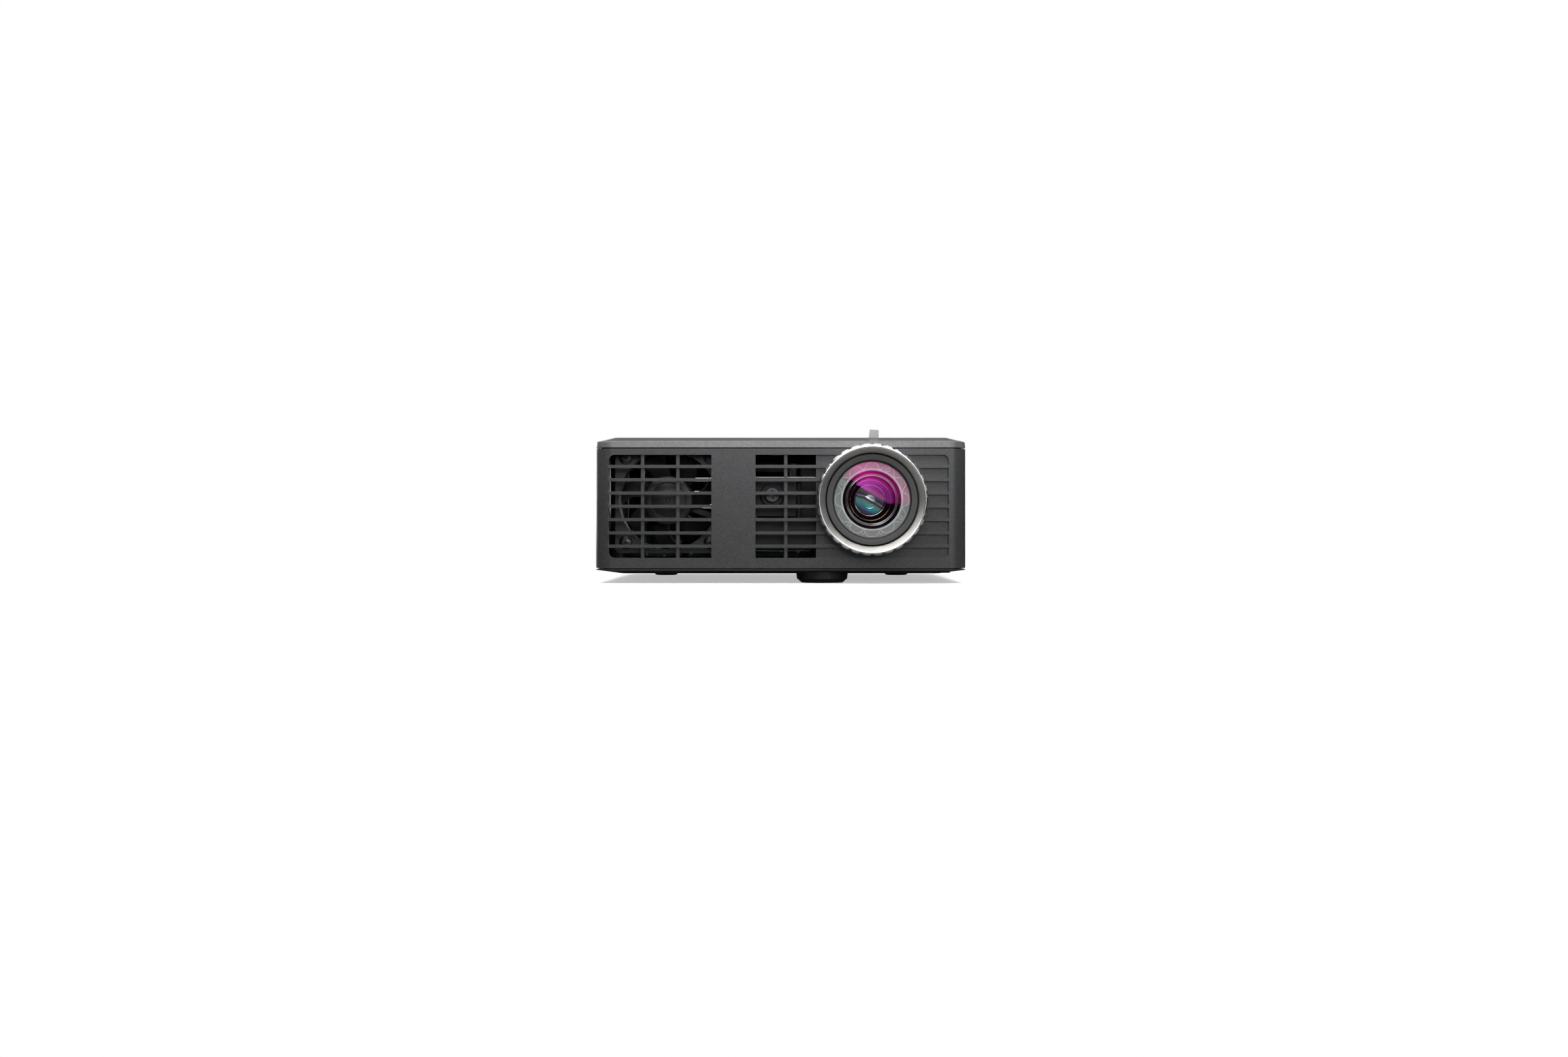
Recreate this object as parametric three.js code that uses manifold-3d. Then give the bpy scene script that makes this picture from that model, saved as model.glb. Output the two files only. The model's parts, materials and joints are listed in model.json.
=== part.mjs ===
// Pocket projector: a flat moulded case with a front lens, a fan, an LED light engine, its boards and sockets.
// Millimetres, +Z up. The lens looks along -Y and +X is to the right of someone facing the lens.
// The origin is the middle of the footprint, lens ring included, on the table that the feet stand on.
import * as THREE from "three";
import { mergeVertices } from "three/addons/utils/BufferGeometryUtils.js";
import Module from "manifold-3d";

const wasm = await Module();
wasm.setup();

// ---------------------------------------------------------------------------------------------------------
// Driving dimensions
// ---------------------------------------------------------------------------------------------------------

// Case
const bodyWidth = 105;
const bodyDepth = 100;
const housingHeight = 33.67;
const cornerRadius = 5;
const wall = 1.8;
const footDrop = 2.7; // underside above the table
const baseRise = 1.32; // height of the bevel round the underside
const baseBevel = 7; // its width
const baseSeam = 0.3; // gap between the base cover and the housing
const lidSeam = 0.4; // shadow gap between the housing and the top cover
const lidEdge = 1.74; // upright edge of the top cover
const lidDraft = 0.15; // that edge leans in by this much
const lidRise = 1.24; // height of the bevel round the top
const lidBevel = 5; // its width
const plateauRadius = 1.5; // corner of the flat inside a bevel
const skirtInset = 1.2; // outside of the top cover's locating skirt, in from the case's outside
const skirtThick = 1;
const skirtDrop = 1.6; // below the top cover's edge
const fit = 0.3; // between fixed pieces that locate each other

// Front grille
const louvreCount = 7;
const louvreHeight = 0.875;
const louvreDepth = 1.3;
const stileWidth = 0.93; // upright bars, set back behind the louvres
const stileSetBack = 0.5;
const grilleFoot = 2.93; // sill below the grille
const grilleHead = 1.69; // band above it
const grilleSide = 4.16; // left stile of the case
const blindSide = 5.19; // right stile of the case
const grilleRadius = 1.6;
const ventHeight = 1.3; // air slots in the rear wall
const ventPitch = 4.57;
const lock = { across: [-35.8, -31.2], drop: 4.1, height: 2.1 }; // slot for a security lock, high in the rear wall
const blindDepth = 1; // pocket round the lens
const fanGrilleReach = 12.49; // from the fan's axis to the grille's inner end
const midGrilleStart = 32.62; // from the lens axis to the second grille's two ends
const midGrilleEnd = 15.56;

// Lens and focus
const lensInset = 26.96; // lens axis from the case's right side
const lensRise = 20.88; // and above the underside
const ringProtrusion = 6.5;
const ringRadius = 15.67;
const ringRim = 0.79; // sloping edge round the ring's front
const ringClearance = 0.5; // ring to case front
const notchCount = 30;
const notchRadius = 1;
const notchDepth = 0.23;
const sleeveRadius = 12.67; // turning tube that the ring is fixed to
const sleeveWall = 1.2;
const sleeveLength = 10.5;
const sleeveHoleGap = 0.4;
const mountWall = 1.4; // fixed tube inside the sleeve
const mountLength = 12.6;
const mountFlangeWidth = 2.2;
const slideGap = 0.3; // between one tube and the next
const barrelGap = 0.3; // ring to the barrel's flange
const barrelWall = 1.4;
const barrelRim = 1.33; // flange outside the front glass's pocket
const barrelFront = 4.6; // barrel's front face ahead of the case
const barrelFlangeThick = 2.7;
const barrelLength = 18.4;
const retainerWidth = 0.7; // pocket room round the front glass
const midSeat = 1.1; // shoulder under the middle glass
const rearGlassRadius = 4.9;
const glassGap = 0.25;
const baffleMouth = 3.8; // hole in the stray-light cone
const focusTravelDeg = 14; // each way from the middle of the slot
const focusRestDeg = 3.3; // where the lever stands, to the right of the middle
const tabWidth = 3;
const tabTopWidth = 2.66;
const tabThick = 2.2;
const tabSetBack = 6.4; // behind the case front
const tabHeight = 2.4; // above the top
const tabGap = 0.5; // round the tab in its slot

// Fan
const fanInset = 20.52; // fan axis from the case's left side
const fanRise = 20.84;
const fanSize = 30;
const fanDepth = 7;
const fanSetBack = 2.4; // behind the housing's front wall
const fanRim = 1; // frame left beside its bore
const fanHub = 6.5;
const fanBlades = 7;
const fanHoleInset = 3; // corner holes from the frame's edge

// Feet, tripod socket and screws
const tiltInset = 11.2; // tilt foot behind the case front
const tiltFromLens = 13.62; // and left of the lens axis
const tiltWheelRadius = 7.45;
const tiltWheelUpper = 1.5; // how far the wheel reaches up into the base cover
const tiltStudRadius = 2;
const tiltStudLength = 9.4;
const tiltGrooves = 12;
const rearFootRadius = 4;
const rearFootInset = 14; // from the sides and the back
const rearFootSink = 0.6;
const socketRadius = 3.175; // quarter-inch tripod thread, left plain
const socketInsertRadius = 4.6;
const socketDepth = 6.5;
const screwRadius = 1;
const screwHeadRadius = 1.9;
const screwHeadThick = 1.2;
const postRadius = 2.6;

// Boards
const boardRise = 4.5;
const boardThick = 1.6;

// Sockets on the rear: distance from the case's right side, width, height and depth
const hdmi = { inset: 38.5, width: 15, height: 5.8, depth: 11.5 };
const usb = { inset: 55.5, width: 13.6, height: 6.4, depth: 13.5 };
const audio = { inset: 25.5, width: 7, height: 6.4, depth: 12, hole: 1.8, collar: 2.9 };
const power = { inset: 15.5, width: 9, height: 8.4, depth: 11, hole: 2.9, pin: 0.9 };
const card = { inset: 71.5, width: 13.6, height: 2.8, depth: 14 };
const rearPanelHeight = 12.4;
const rearPanelThick = 1.2;
const rearFlange = 1; // panel's flange behind the wall
const mouthSetBack = 0.4; // sockets' mouths in from the case's rear

// Keys
const keyTravel = 0.4;
const keyGap = 0.3;
const keyProud = 0.4; // above the top
const keyFlange = 0.8;
const keyRadius = 1.2; // corner of a key
const arrowWidth = 6;
const arrowDepth = 5;
const arrowReach = 7.3; // from the middle key to an arrow key
const panelWidth = 58;
const panelDepth = 25;
const panelSink = 0.3;
const panelFromRear = 28; // panel's middle from the case's rear

// Rounding: sides of a full circle
const fine = 60;
const medium = 36;
const coarse = 20;

// ---------------------------------------------------------------------------------------------------------
// Heights above the underside, and places in the case's own frame (middle of the case, underside at zero)
// ---------------------------------------------------------------------------------------------------------

const front = -bodyDepth / 2;
const rear = bodyDepth / 2;
const left = -bodyWidth / 2;
const right = bodyWidth / 2;
const housingBottom = baseRise + baseSeam;
const housingTop = housingBottom + housingHeight;
const lidBottom = housingTop + lidSeam;
const lidShoulder = lidBottom + lidEdge;
const lidTop = lidShoulder + lidRise;
const lidUnder = lidTop - wall;
const baseFloor = baseRise + 0.95; // inside of the base cover
const boardTop = boardRise + boardThick;
const lensX = right - lensInset;
const fanX = left + fanInset;

const ringLip = ringRadius - ringRim;
const ringBore = sleeveRadius + fit;
const mountRadius = sleeveRadius - sleeveWall - slideGap;
const mountFlange = mountRadius + mountFlangeWidth;
const barrelFlange = ringBore - barrelGap;
const barrelTube = mountRadius - mountWall - slideGap;
const frontGlassRadius = barrelFlange - barrelRim - retainerWidth;
const midGlassRadius = barrelTube - barrelWall - fit;
const fanBore = fanSize / 2 - fanRim;

// ---------------------------------------------------------------------------------------------------------
// Solids
// ---------------------------------------------------------------------------------------------------------

function manifoldOf(positions, triangles) {
  const mesh = { numProp: 3, vertProperties: positions, triVerts: triangles };
  return new wasm.Manifold(new wasm.Mesh(mesh));
}

// A three.js geometry as a closed solid, whichever way round its faces were listed.
function solid(geometry) {
  const bare = geometry.index ? geometry.toNonIndexed() : geometry.clone();
  const only = new THREE.BufferGeometry().setAttribute("position", bare.getAttribute("position"));
  const merged = mergeVertices(only, 1e-4);
  const kept = [];
  const index = merged.index.array;
  for (let i = 0; i < index.length; i += 3) {
    const [a, b, c] = [index[i], index[i + 1], index[i + 2]];
    if (a !== b && b !== c && a !== c) kept.push(a, b, c);
  }
  const positions = merged.attributes.position.array;
  const made = manifoldOf(positions, new Uint32Array(kept));
  return made.volume() < 0 ? manifoldOf(positions, new Uint32Array(kept.reverse())) : made;
}

function geometryOf(body) {
  const mesh = body.getMesh();
  const positions = new Float32Array(mesh.numVert * 3);
  for (let i = 0; i < mesh.numVert; i++) {
    positions.set(mesh.vertProperties.subarray(i * mesh.numProp, i * mesh.numProp + 3), i * 3);
  }
  const geometry = new THREE.BufferGeometry();
  geometry.setAttribute("position", new THREE.BufferAttribute(positions, 3));
  geometry.setIndex(new THREE.BufferAttribute(mesh.triVerts, 1));
  geometry.computeVertexNormals();
  return geometry;
}

function joined(parts) {
  return parts.reduce((whole, part) => whole.add(part));
}

function cutBy(body, cutters) {
  return cutters.reduce((whole, cutter) => whole.subtract(cutter), body);
}

// A block from its lowest to its highest corner.
function block(x0, x1, y0, y1, z0, z1) {
  const geometry = new THREE.BoxGeometry(x1 - x0, y1 - y0, z1 - z0);
  return solid(geometry.translate((x0 + x1) / 2, (y0 + y1) / 2, (z0 + z1) / 2));
}

function roundedShape(width, depth, radius) {
  const [w, d, quarter] = [width / 2 - radius, depth / 2 - radius, Math.PI / 2];
  const shape = new THREE.Shape();
  shape.absarc(w, d, radius, 0, quarter);
  shape.absarc(-w, d, radius, quarter, 2 * quarter);
  shape.absarc(-w, -d, radius, 2 * quarter, 3 * quarter);
  shape.absarc(w, -d, radius, 3 * quarter, 4 * quarter);
  return shape;
}

// A plate with round corners, lying flat from z0 to z1.
function plate(width, depth, radius, z0, z1, segments = 7) {
  const options = { depth: z1 - z0, bevelEnabled: false, curveSegments: segments };
  const geometry = new THREE.ExtrudeGeometry(roundedShape(width, depth, radius), options);
  return solid(geometry.translate(0, 0, z0));
}

// The same plate standing up, its face towards -Y, from y0 to y1, centred on x and z.
function uprightPlate(width, height, radius, y0, y1, x, z, segments = 4) {
  const options = { depth: y1 - y0, bevelEnabled: false, curveSegments: segments };
  const geometry = new THREE.ExtrudeGeometry(roundedShape(width, height, radius), options);
  return solid(geometry.rotateX(Math.PI / 2).translate(x, y1, z));
}

// Rounded rectangles stacked up: each layer is { inset, radius, z } of a width by depth outline.
function layeredPlate(width, depth, layers, segments = 7) {
  const rings = layers.map(({ inset, radius, z }) => {
    const points = [];
    for (let corner = 0; corner < 4; corner++) {
      const [sx, sy] = [[1, 1], [-1, 1], [-1, -1], [1, -1]][corner];
      const cx = sx * (width / 2 - inset - radius);
      const cy = sy * (depth / 2 - inset - radius);
      for (let i = 0; i <= segments; i++) {
        const angle = (corner + i / segments) * Math.PI / 2;
        points.push(new THREE.Vector3(cx + radius * Math.cos(angle), cy + radius * Math.sin(angle), z));
      }
    }
    return points;
  });
  const corners = [];
  const count = rings[0].length;
  for (let level = 0; level + 1 < rings.length; level++) {
    for (let i = 0; i < count; i++) {
      const next = (i + 1) % count;
      const [a, b, c, d] = [rings[level][i], rings[level][next], rings[level + 1][next], rings[level + 1][i]];
      corners.push(a, b, c, a, c, d);
    }
  }
  const [bottom, top] = [rings[0], rings[rings.length - 1]];
  for (let i = 1; i + 1 < count; i++) {
    corners.push(bottom[0], bottom[i + 1], bottom[i]);
    corners.push(top[0], top[i], top[i + 1]);
  }
  return solid(new THREE.BufferGeometry().setFromPoints(corners));
}

// A solid of revolution about Y from a closed list of [radius, y] points.
function turned(profile, sides) {
  const points = [...profile, profile[0]].map(([r, y]) => new THREE.Vector2(r, y));
  return solid(new THREE.LatheGeometry(points, sides));
}

// The same about Z, from [radius, z] points.
function turnedUpright(profile, sides) {
  const points = [...profile, profile[0]].map(([r, z]) => new THREE.Vector2(r, z));
  return solid(new THREE.LatheGeometry(points, sides).rotateX(Math.PI / 2));
}

function tubeAlongY(outer, inner, y0, y1, sides) {
  return turned([[outer, y0], [outer, y1], [inner, y1], [inner, y0]], sides);
}

function rodAlongY(radius, y0, y1, sides) {
  return turned([[0, y0], [radius, y0], [radius, y1], [0, y1]], sides);
}

function rodUpright(radius, z0, z1, sides) {
  return turnedUpright([[0, z0], [radius, z0], [radius, z1], [0, z1]], sides);
}

function rodAlongX(radius, x0, x1, sides) {
  const geometry = new THREE.CylinderGeometry(radius, radius, x1 - x0, sides);
  return solid(geometry.rotateZ(Math.PI / 2).translate((x0 + x1) / 2, 0, 0));
}

// A lens: two spherical faces, bulging forwards (-Y) and backwards, round a straight edge from y0 to y1.
function lensBody(radius, y0, y1, bulgeFront, bulgeBack, sides, steps = 4) {
  const profile = [];
  for (let i = 0; i <= steps; i++) {
    const r = (radius * i) / steps;
    profile.push([r, y0 - bulgeFront * (1 - (r / radius) ** 2)]);
  }
  for (let i = steps; i >= 0; i--) {
    const r = (radius * i) / steps;
    profile.push([r, y1 + bulgeBack * (1 - (r / radius) ** 2)]);
  }
  return turned(profile, sides);
}

// ---------------------------------------------------------------------------------------------------------
// Finishes
// ---------------------------------------------------------------------------------------------------------

const finishes = {
  casing: { color: 0x4a4a4c, roughness: 0.5, metalness: 0.35 },
  casingDark: { color: 0x2b2b2c, roughness: 0.6, metalness: 0.1 },
  satinSilver: { color: 0xc9c8c4, roughness: 0.35, metalness: 0.9 },
  blackPlastic: { color: 0x161616, roughness: 0.5, metalness: 0 },
  lensGlass: { color: 0xb9a6c9, roughness: 0.02, metalness: 0, transparent: true, opacity: 0.35 },
  greyPlastic: { color: 0x8f9092, roughness: 0.45, metalness: 0 },
  rubber: { color: 0x1c1c1c, roughness: 0.9, metalness: 0 },
  brass: { color: 0xb08d4a, roughness: 0.35, metalness: 1 },
  steel: { color: 0x9a9b9d, roughness: 0.35, metalness: 1 },
  aluminium: { color: 0xa9abad, roughness: 0.4, metalness: 1 },
  magnesium: { color: 0x77797b, roughness: 0.6, metalness: 0.8 },
  board: { color: 0x17402b, roughness: 0.5, metalness: 0 },
};

function finish(name) {
  return new THREE.MeshStandardMaterial({ name, ...finishes[name] });
}

function piece(name, body, finishName, x = 0, y = 0, z = 0) {
  const mesh = new THREE.Mesh(geometryOf(body), finish(finishName));
  mesh.name = name;
  mesh.position.set(x, y, z);
  return mesh;
}

// ---------------------------------------------------------------------------------------------------------
// Case
// ---------------------------------------------------------------------------------------------------------

const grilleBottom = housingBottom + grilleFoot;
const grilleTop = housingTop - grilleHead;
const louvreGap = (grilleTop - grilleBottom - louvreCount * louvreHeight) / (louvreCount + 1);
const fanGrille = [left + grilleSide, fanX + fanGrilleReach];
const midGrille = [lensX - midGrilleStart, lensX - midGrilleEnd];
const blindEnd = right - blindSide;

// Screws run up from the base into posts under the top cover; the front left one clears the fan.
const postPlaces = [
  [left + 5.5, front + 17],
  [right - 6, front + 6],
  [left + 6, rear - 6],
  [right - 6, rear - 6],
];
const postFoot = baseFloor + fit;

const tiltX = lensX - tiltFromLens;
const tiltY = front + tiltInset;
const tiltRecess = tiltWheelRadius + 0.45;
const tiltBoss = tiltStudRadius + 1.5;
const tiltBossTop = baseFloor + 7;
const tiltPadTop = tiltWheelUpper + 2;
const socketPlace = [0, rear - 44];
const socketBoss = socketInsertRadius + 2;
const rearFootPlaces = [left + rearFootInset, right - rearFootInset].map((x) => [x, rear - rearFootInset]);

function louvres(x0, x1) {
  const bars = [];
  for (let i = 0; i < louvreCount; i++) {
    const z = grilleBottom + louvreGap + i * (louvreGap + louvreHeight);
    bars.push(block(x0 - 0.3, x1 + 0.3, front, front + louvreDepth, z, z + louvreHeight));
  }
  return joined(bars);
}

function stiles([x0, x1], columns) {
  const cell = (x1 - x0 - (columns - 1) * stileWidth) / columns;
  const bars = [];
  for (let i = 1; i < columns; i++) {
    const x = x0 + i * cell + (i - 1) * stileWidth;
    const [z0, z1] = [grilleBottom - 0.3, grilleTop + 0.3];
    bars.push(block(x, x + stileWidth, front + stileSetBack, front + wall, z0, z1));
  }
  return joined(bars);
}

// A window in the front wall from x0 to x1 that is rounded at one end only.
function frontWindow(x0, x1, roundEnd, y0, y1) {
  const [z0, z1] = [grilleBottom, grilleTop];
  const middle = (x0 + x1) / 2;
  const whole = uprightPlate(x1 - x0, z1 - z0, grilleRadius, y0, y1, middle, (z0 + z1) / 2);
  const square = roundEnd === "left" ? block(middle, x1, y0, y1, z0, z1) : block(x0, middle, y0, y1, z0, z1);
  return whole.add(square);
}

// Slots cut right through a side or rear wall in rows and columns, centred on (along, z).
function slotGrid({ side, along, z, rows, columns, length, height, pitchZ, gap }) {
  const cuts = [];
  for (let row = 0; row < rows; row++) {
    for (let column = 0; column < columns; column++) {
      const a = along + (column - (columns - 1) / 2) * (length + gap);
      const h = z + (row - (rows - 1) / 2) * pitchZ;
      const span = [a - length / 2, a + length / 2];
      const rise = [h - height / 2, h + height / 2];
      const [over, deep] = [1, wall + 1];
      if (side === "left") cuts.push(block(left - over, left + deep, ...span, ...rise));
      if (side === "right") cuts.push(block(right - deep, right + over, ...span, ...rise));
      if (side === "rear") cuts.push(block(...span, rear - deep, rear + over, ...rise));
    }
  }
  return cuts;
}

const sockets = [hdmi, usb, audio, power, card].map((s) => ({ ...s, x: right - s.inset }));
const panelX0 = right - card.inset - card.width / 2 - 2.4;
const panelX1 = right - power.inset + power.width / 2 + 1.6;
const panelZ0 = boardTop - 1.2;
const panelZ1 = panelZ0 + rearPanelHeight;
const louvrePitch = louvreGap + louvreHeight;

function housing() {
  const outside = plate(bodyWidth, bodyDepth, cornerRadius, housingBottom, housingTop);
  const cavity = plate(bodyWidth - 2 * wall, bodyDepth - 2 * wall, cornerRadius - wall, 0, lidTop);
  const rebate = skirtInset - fit;
  const ledge = lidBottom - skirtDrop - fit;
  const rebateCut = plate(bodyWidth - 2 * rebate, bodyDepth - 2 * rebate, cornerRadius - rebate, ledge, lidTop);
  const shell = outside.subtract(cavity).subtract(rebateCut);
  const grilleCut = frontWindow(...fanGrille, "left", front - 1, front + wall + 1);
  const midCut = block(...midGrille, front - 1, front + wall + 1, grilleBottom, grilleTop);
  const blindCut = frontWindow(midGrille[1] - 0.01, blindEnd, "right", front - 1, front + blindDepth);
  const barred = cutBy(shell, [grilleCut, midCut, blindCut])
    .add(louvres(...fanGrille))
    .add(louvres(midGrille[0], blindEnd))
    .add(stiles(fanGrille, 3))
    .add(stiles(midGrille, 2));
  const lensHole = rodAlongY(sleeveRadius + sleeveHoleGap, front - 1, front + wall + 1, medium);
  const rearTop = {
    side: "rear", along: 0, z: housingTop - 10.25, rows: 3, columns: 7, length: 10.6, height: ventHeight, pitchZ: ventPitch, gap: 1.6,
  };
  const rearLow = { ...rearTop, along: left + 14.2, z: panelZ0 + 6.4, columns: 1, length: 11 };
  const lockSlot = block(...lock.across, rear - wall - 1, rear + 1, housingTop - lock.drop, housingTop - lock.drop + lock.height);
  const sideGrid = { rows: 5, columns: 4, length: 11, height: 2, pitchZ: louvrePitch, gap: 1.6, z: fanRise - 1 };
  return cutBy(barred, [
    lensHole.translate([lensX, 0, lensRise]),
    ...slotGrid(rearTop),
    ...slotGrid(rearLow),
    lockSlot,
    ...slotGrid({ ...sideGrid, side: "left", along: 8 }),
    ...slotGrid({ ...sideGrid, side: "right", along: 10 }),
    block(panelX0, panelX1, rear - wall - 1, rear + 1, panelZ0, panelZ1),
  ]);
}

const keyBase = lidUnder - 0.3 - 0.5; // underside of a key's flange
const keypadTop = keyBase - 0.9;
const panelY = rear - panelFromRear;
const panelX = -6;
const middleKeyX = panelX + 13;
const keys = [
  { name: "key_enter", x: middleKeyX, y: panelY, width: 5.8, depth: 5.8 },
  { name: "key_up", x: middleKeyX, y: panelY + arrowReach, width: arrowWidth, depth: arrowDepth },
  { name: "key_down", x: middleKeyX, y: panelY - arrowReach, width: arrowWidth, depth: arrowDepth },
  { name: "key_left", x: middleKeyX - arrowReach, y: panelY, width: arrowDepth, depth: arrowWidth },
  { name: "key_right", x: middleKeyX + arrowReach, y: panelY, width: arrowDepth, depth: arrowWidth },
  { name: "key_menu", x: panelX - 6.5, y: panelY, width: 8, depth: arrowDepth },
  { name: "key_power", x: panelX - 21, y: panelY, width: 8.4, depth: 8.4 },
];

function topCover() {
  const width = bodyWidth;
  const skirtOuter = skirtInset;
  const skirtInner = skirtInset + skirtThick;
  const crown = layeredPlate(width, bodyDepth, [
    { inset: 0, radius: cornerRadius, z: lidBottom },
    { inset: lidDraft, radius: cornerRadius - lidDraft, z: lidShoulder - 0.2 },
    { inset: lidDraft + 0.2, radius: cornerRadius - lidDraft - 0.2, z: lidShoulder },
    { inset: lidBevel, radius: plateauRadius, z: lidTop },
  ]);
  const sized = (inset) => [width - 2 * inset, bodyDepth - 2 * inset, cornerRadius - inset];
  const skirt = plate(...sized(skirtOuter), lidBottom - skirtDrop, lidBottom + 0.5);
  const hollow = plate(...sized(skirtInner), lidBottom - skirtDrop - 1, lidUnder);
  const posts = postPlaces.map(([x, y]) => {
    const post = rodUpright(postRadius, postFoot, lidUnder + 0.5, coarse);
    const pilot = rodUpright(screwRadius + 0.1, postFoot - 1, postFoot + 9, 12);
    return post.subtract(pilot).translate([x, y, 0]);
  });
  const cover = crown.add(skirt).subtract(hollow).add(joined(posts));
  const turn = THREE.MathUtils.degToRad(focusTravelDeg);
  const slotHalf = (lidTop - lensRise) * Math.tan(turn) + tabWidth / 2 / Math.cos(turn) + tabGap;
  const slotY = [front + tabSetBack - tabGap, front + tabSetBack + tabThick + tabGap];
  const keyHoles = keys.map(({ x, y, width: w, depth }) => {
    const hole = plate(w + 2 * keyGap, depth + 2 * keyGap, keyRadius + keyGap, lidUnder - 1, lidTop + 1, 3);
    return hole.translate([x, y, 0]);
  });
  const panel = plate(panelWidth, panelDepth, 3, lidTop - panelSink, lidTop + 1);
  return cutBy(cover, [
    block(lensX - slotHalf, lensX + slotHalf, ...slotY, lidUnder - 1, lidTop + 1),
    rodAlongY(sleeveRadius + fit, front - 1, front + wall + 3, medium).translate([lensX, 0, lensRise]),
    panel.translate([panelX, panelY, 0]),
    ...keyHoles,
  ]);
}

function baseCover() {
  const dish = layeredPlate(bodyWidth, bodyDepth, [
    { inset: baseBevel, radius: plateauRadius, z: 0 },
    { inset: 0, radius: cornerRadius, z: baseRise - 0.25 },
    { inset: 0, radius: cornerRadius, z: baseRise },
  ]);
  const rimInset = wall + fit;
  const rim = (inset, z1) => plate(bodyWidth - 2 * inset, bodyDepth - 2 * inset, cornerRadius - inset, 1, z1);
  const tray = rim(rimInset, baseFloor + 2.2).subtract(
    plate(bodyWidth - 2 * rimInset - 2.4, bodyDepth - 2 * rimInset - 2.4, 1.6, baseFloor, lidTop),
  );
  const tiltPad = rodUpright(tiltRecess + 1.2, baseRise, tiltPadTop, medium);
  const tiltTower = rodUpright(tiltBoss, tiltPadTop - 0.5, tiltBossTop, coarse);
  const socketTower = rodUpright(socketBoss, baseFloor - 0.5, socketDepth + 1.5, coarse);
  const standoffs = boardHoles().map(([x, y]) => rodUpright(2.2, baseFloor - 0.5, boardRise, 16).translate([x, y, 0]));
  const solidBase = joined([
    dish,
    tray,
    joined([tiltPad, tiltTower]).translate([tiltX, tiltY, 0]),
    socketTower.translate([...socketPlace, 0]),
    ...standoffs,
  ]);
  const screwCuts = postPlaces.map(([x, y]) => {
    const shank = rodUpright(screwRadius + fit, -1, baseFloor + 1, 16);
    const counterbore = rodUpright(screwHeadRadius + fit, -1, screwHeadThick + 0.3, 20);
    return shank.add(counterbore).translate([x, y, 0]);
  });
  const footCuts = rearFootPlaces.map(([x, y]) =>
    rodUpright(rearFootRadius + fit, -1, rearFootSink, medium).translate([x, y, 0]),
  );
  const postCuts = postPlaces.map(([x, y]) =>
    rodUpright(postRadius + fit, baseFloor, lidTop, coarse).translate([x, y, 0]),
  );
  return cutBy(solidBase, [
    ...postCuts,
    rodUpright(tiltRecess, -3, tiltWheelUpper + 0.4, medium).translate([tiltX, tiltY, 0]),
    rodUpright(tiltStudRadius + 0.2, 0, tiltBossTop + 1, coarse).translate([tiltX, tiltY, 0]),
    rodUpright(socketInsertRadius + 0.15, -1, socketDepth + 0.3, coarse).translate([...socketPlace, 0]),
    ...screwCuts,
    ...footCuts,
  ]);
}

function rearPanel() {
  const y1 = rear - 0.2;
  const face = block(panelX0 + fit, panelX1 - fit, y1 - rearPanelThick, y1, panelZ0 + fit, panelZ1 - fit);
  const backY = rear - wall - 0.2;
  const flange = block(panelX0 - 1.4, panelX1 + 1.4, backY - rearFlange, backY, panelZ0 + fit, panelZ1 + 1.2);
  const core = block(panelX0 + fit, panelX1 - fit, backY - rearFlange, y1, panelZ0 + fit, panelZ1 - fit);
  const holes = sockets.slice(0, 2).concat(sockets[4]).map(({ x, width, height }) => {
    const around = 0.25;
    const [z0, z1] = [boardTop - around, boardTop + height + 0.1 + around];
    return block(x - width / 2 - around, x + width / 2 + around, backY - 2, rear + 1, z0, z1);
  });
  const [, , jack, dc] = sockets;
  const jackHole = rodAlongY(audio.collar + 0.25, backY - 2, rear + 1, coarse);
  const dcHole = block(dc.x - 4.75, dc.x + 4.75, backY - 2, rear + 1, boardTop - 0.25, boardTop + power.height + 0.35);
  return cutBy(joined([face, flange, core]), [
    ...holes,
    jackHole.translate([jack.x, 0, boardTop + 0.1 + audio.height / 2]),
    dcHole,
  ]);
}

// ---------------------------------------------------------------------------------------------------------
// Feet, tripod socket and screws
// ---------------------------------------------------------------------------------------------------------

function tiltWheel() {
  const body = turnedUpright([
    [0, -footDrop],
    [tiltWheelRadius - 1.53, -footDrop],
    [tiltWheelRadius - 0.2, -footDrop + 1.15],
    [tiltWheelRadius, 0],
    [tiltWheelRadius, tiltWheelUpper],
    [0, tiltWheelUpper],
  ], medium - 4);
  const grooves = [];
  for (let i = 0; i < tiltGrooves; i++) {
    const groove = block(tiltWheelRadius - 0.25, tiltWheelRadius + 1, -0.35, 0.35, -footDrop + 0.7, tiltWheelUpper + 1);
    grooves.push(groove.rotate([0, 0, (i + 0.5) * 360 / tiltGrooves]));
  }
  const studHole = rodUpright(tiltStudRadius + 0.15, -footDrop + 1.2, tiltWheelUpper + 1, coarse);
  return cutBy(body, [...grooves, studHole]);
}

function tiltStud() {
  const [z0, z1] = [-footDrop + 1.4, -footDrop + 1.4 + tiltStudLength];
  const profile = [[0, z0], [tiltStudRadius, z0]];
  const pitch = 1.5;
  for (let z = tiltWheelUpper + 0.6; z + pitch < z1; z += pitch) {
    profile.push([tiltStudRadius, z], [tiltStudRadius - 0.35, z + pitch / 2]);
  }
  profile.push([tiltStudRadius, z1 - 0.5], [tiltStudRadius - 0.5, z1], [0, z1]);
  return turnedUpright(profile, coarse);
}

function rearFoot() {
  const z1 = rearFootSink - 0.15;
  const r = rearFootRadius;
  return turnedUpright([[0, -footDrop], [r - 0.6, -footDrop], [r, -footDrop + 0.6], [r, z1], [0, z1]], coarse);
}

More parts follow.
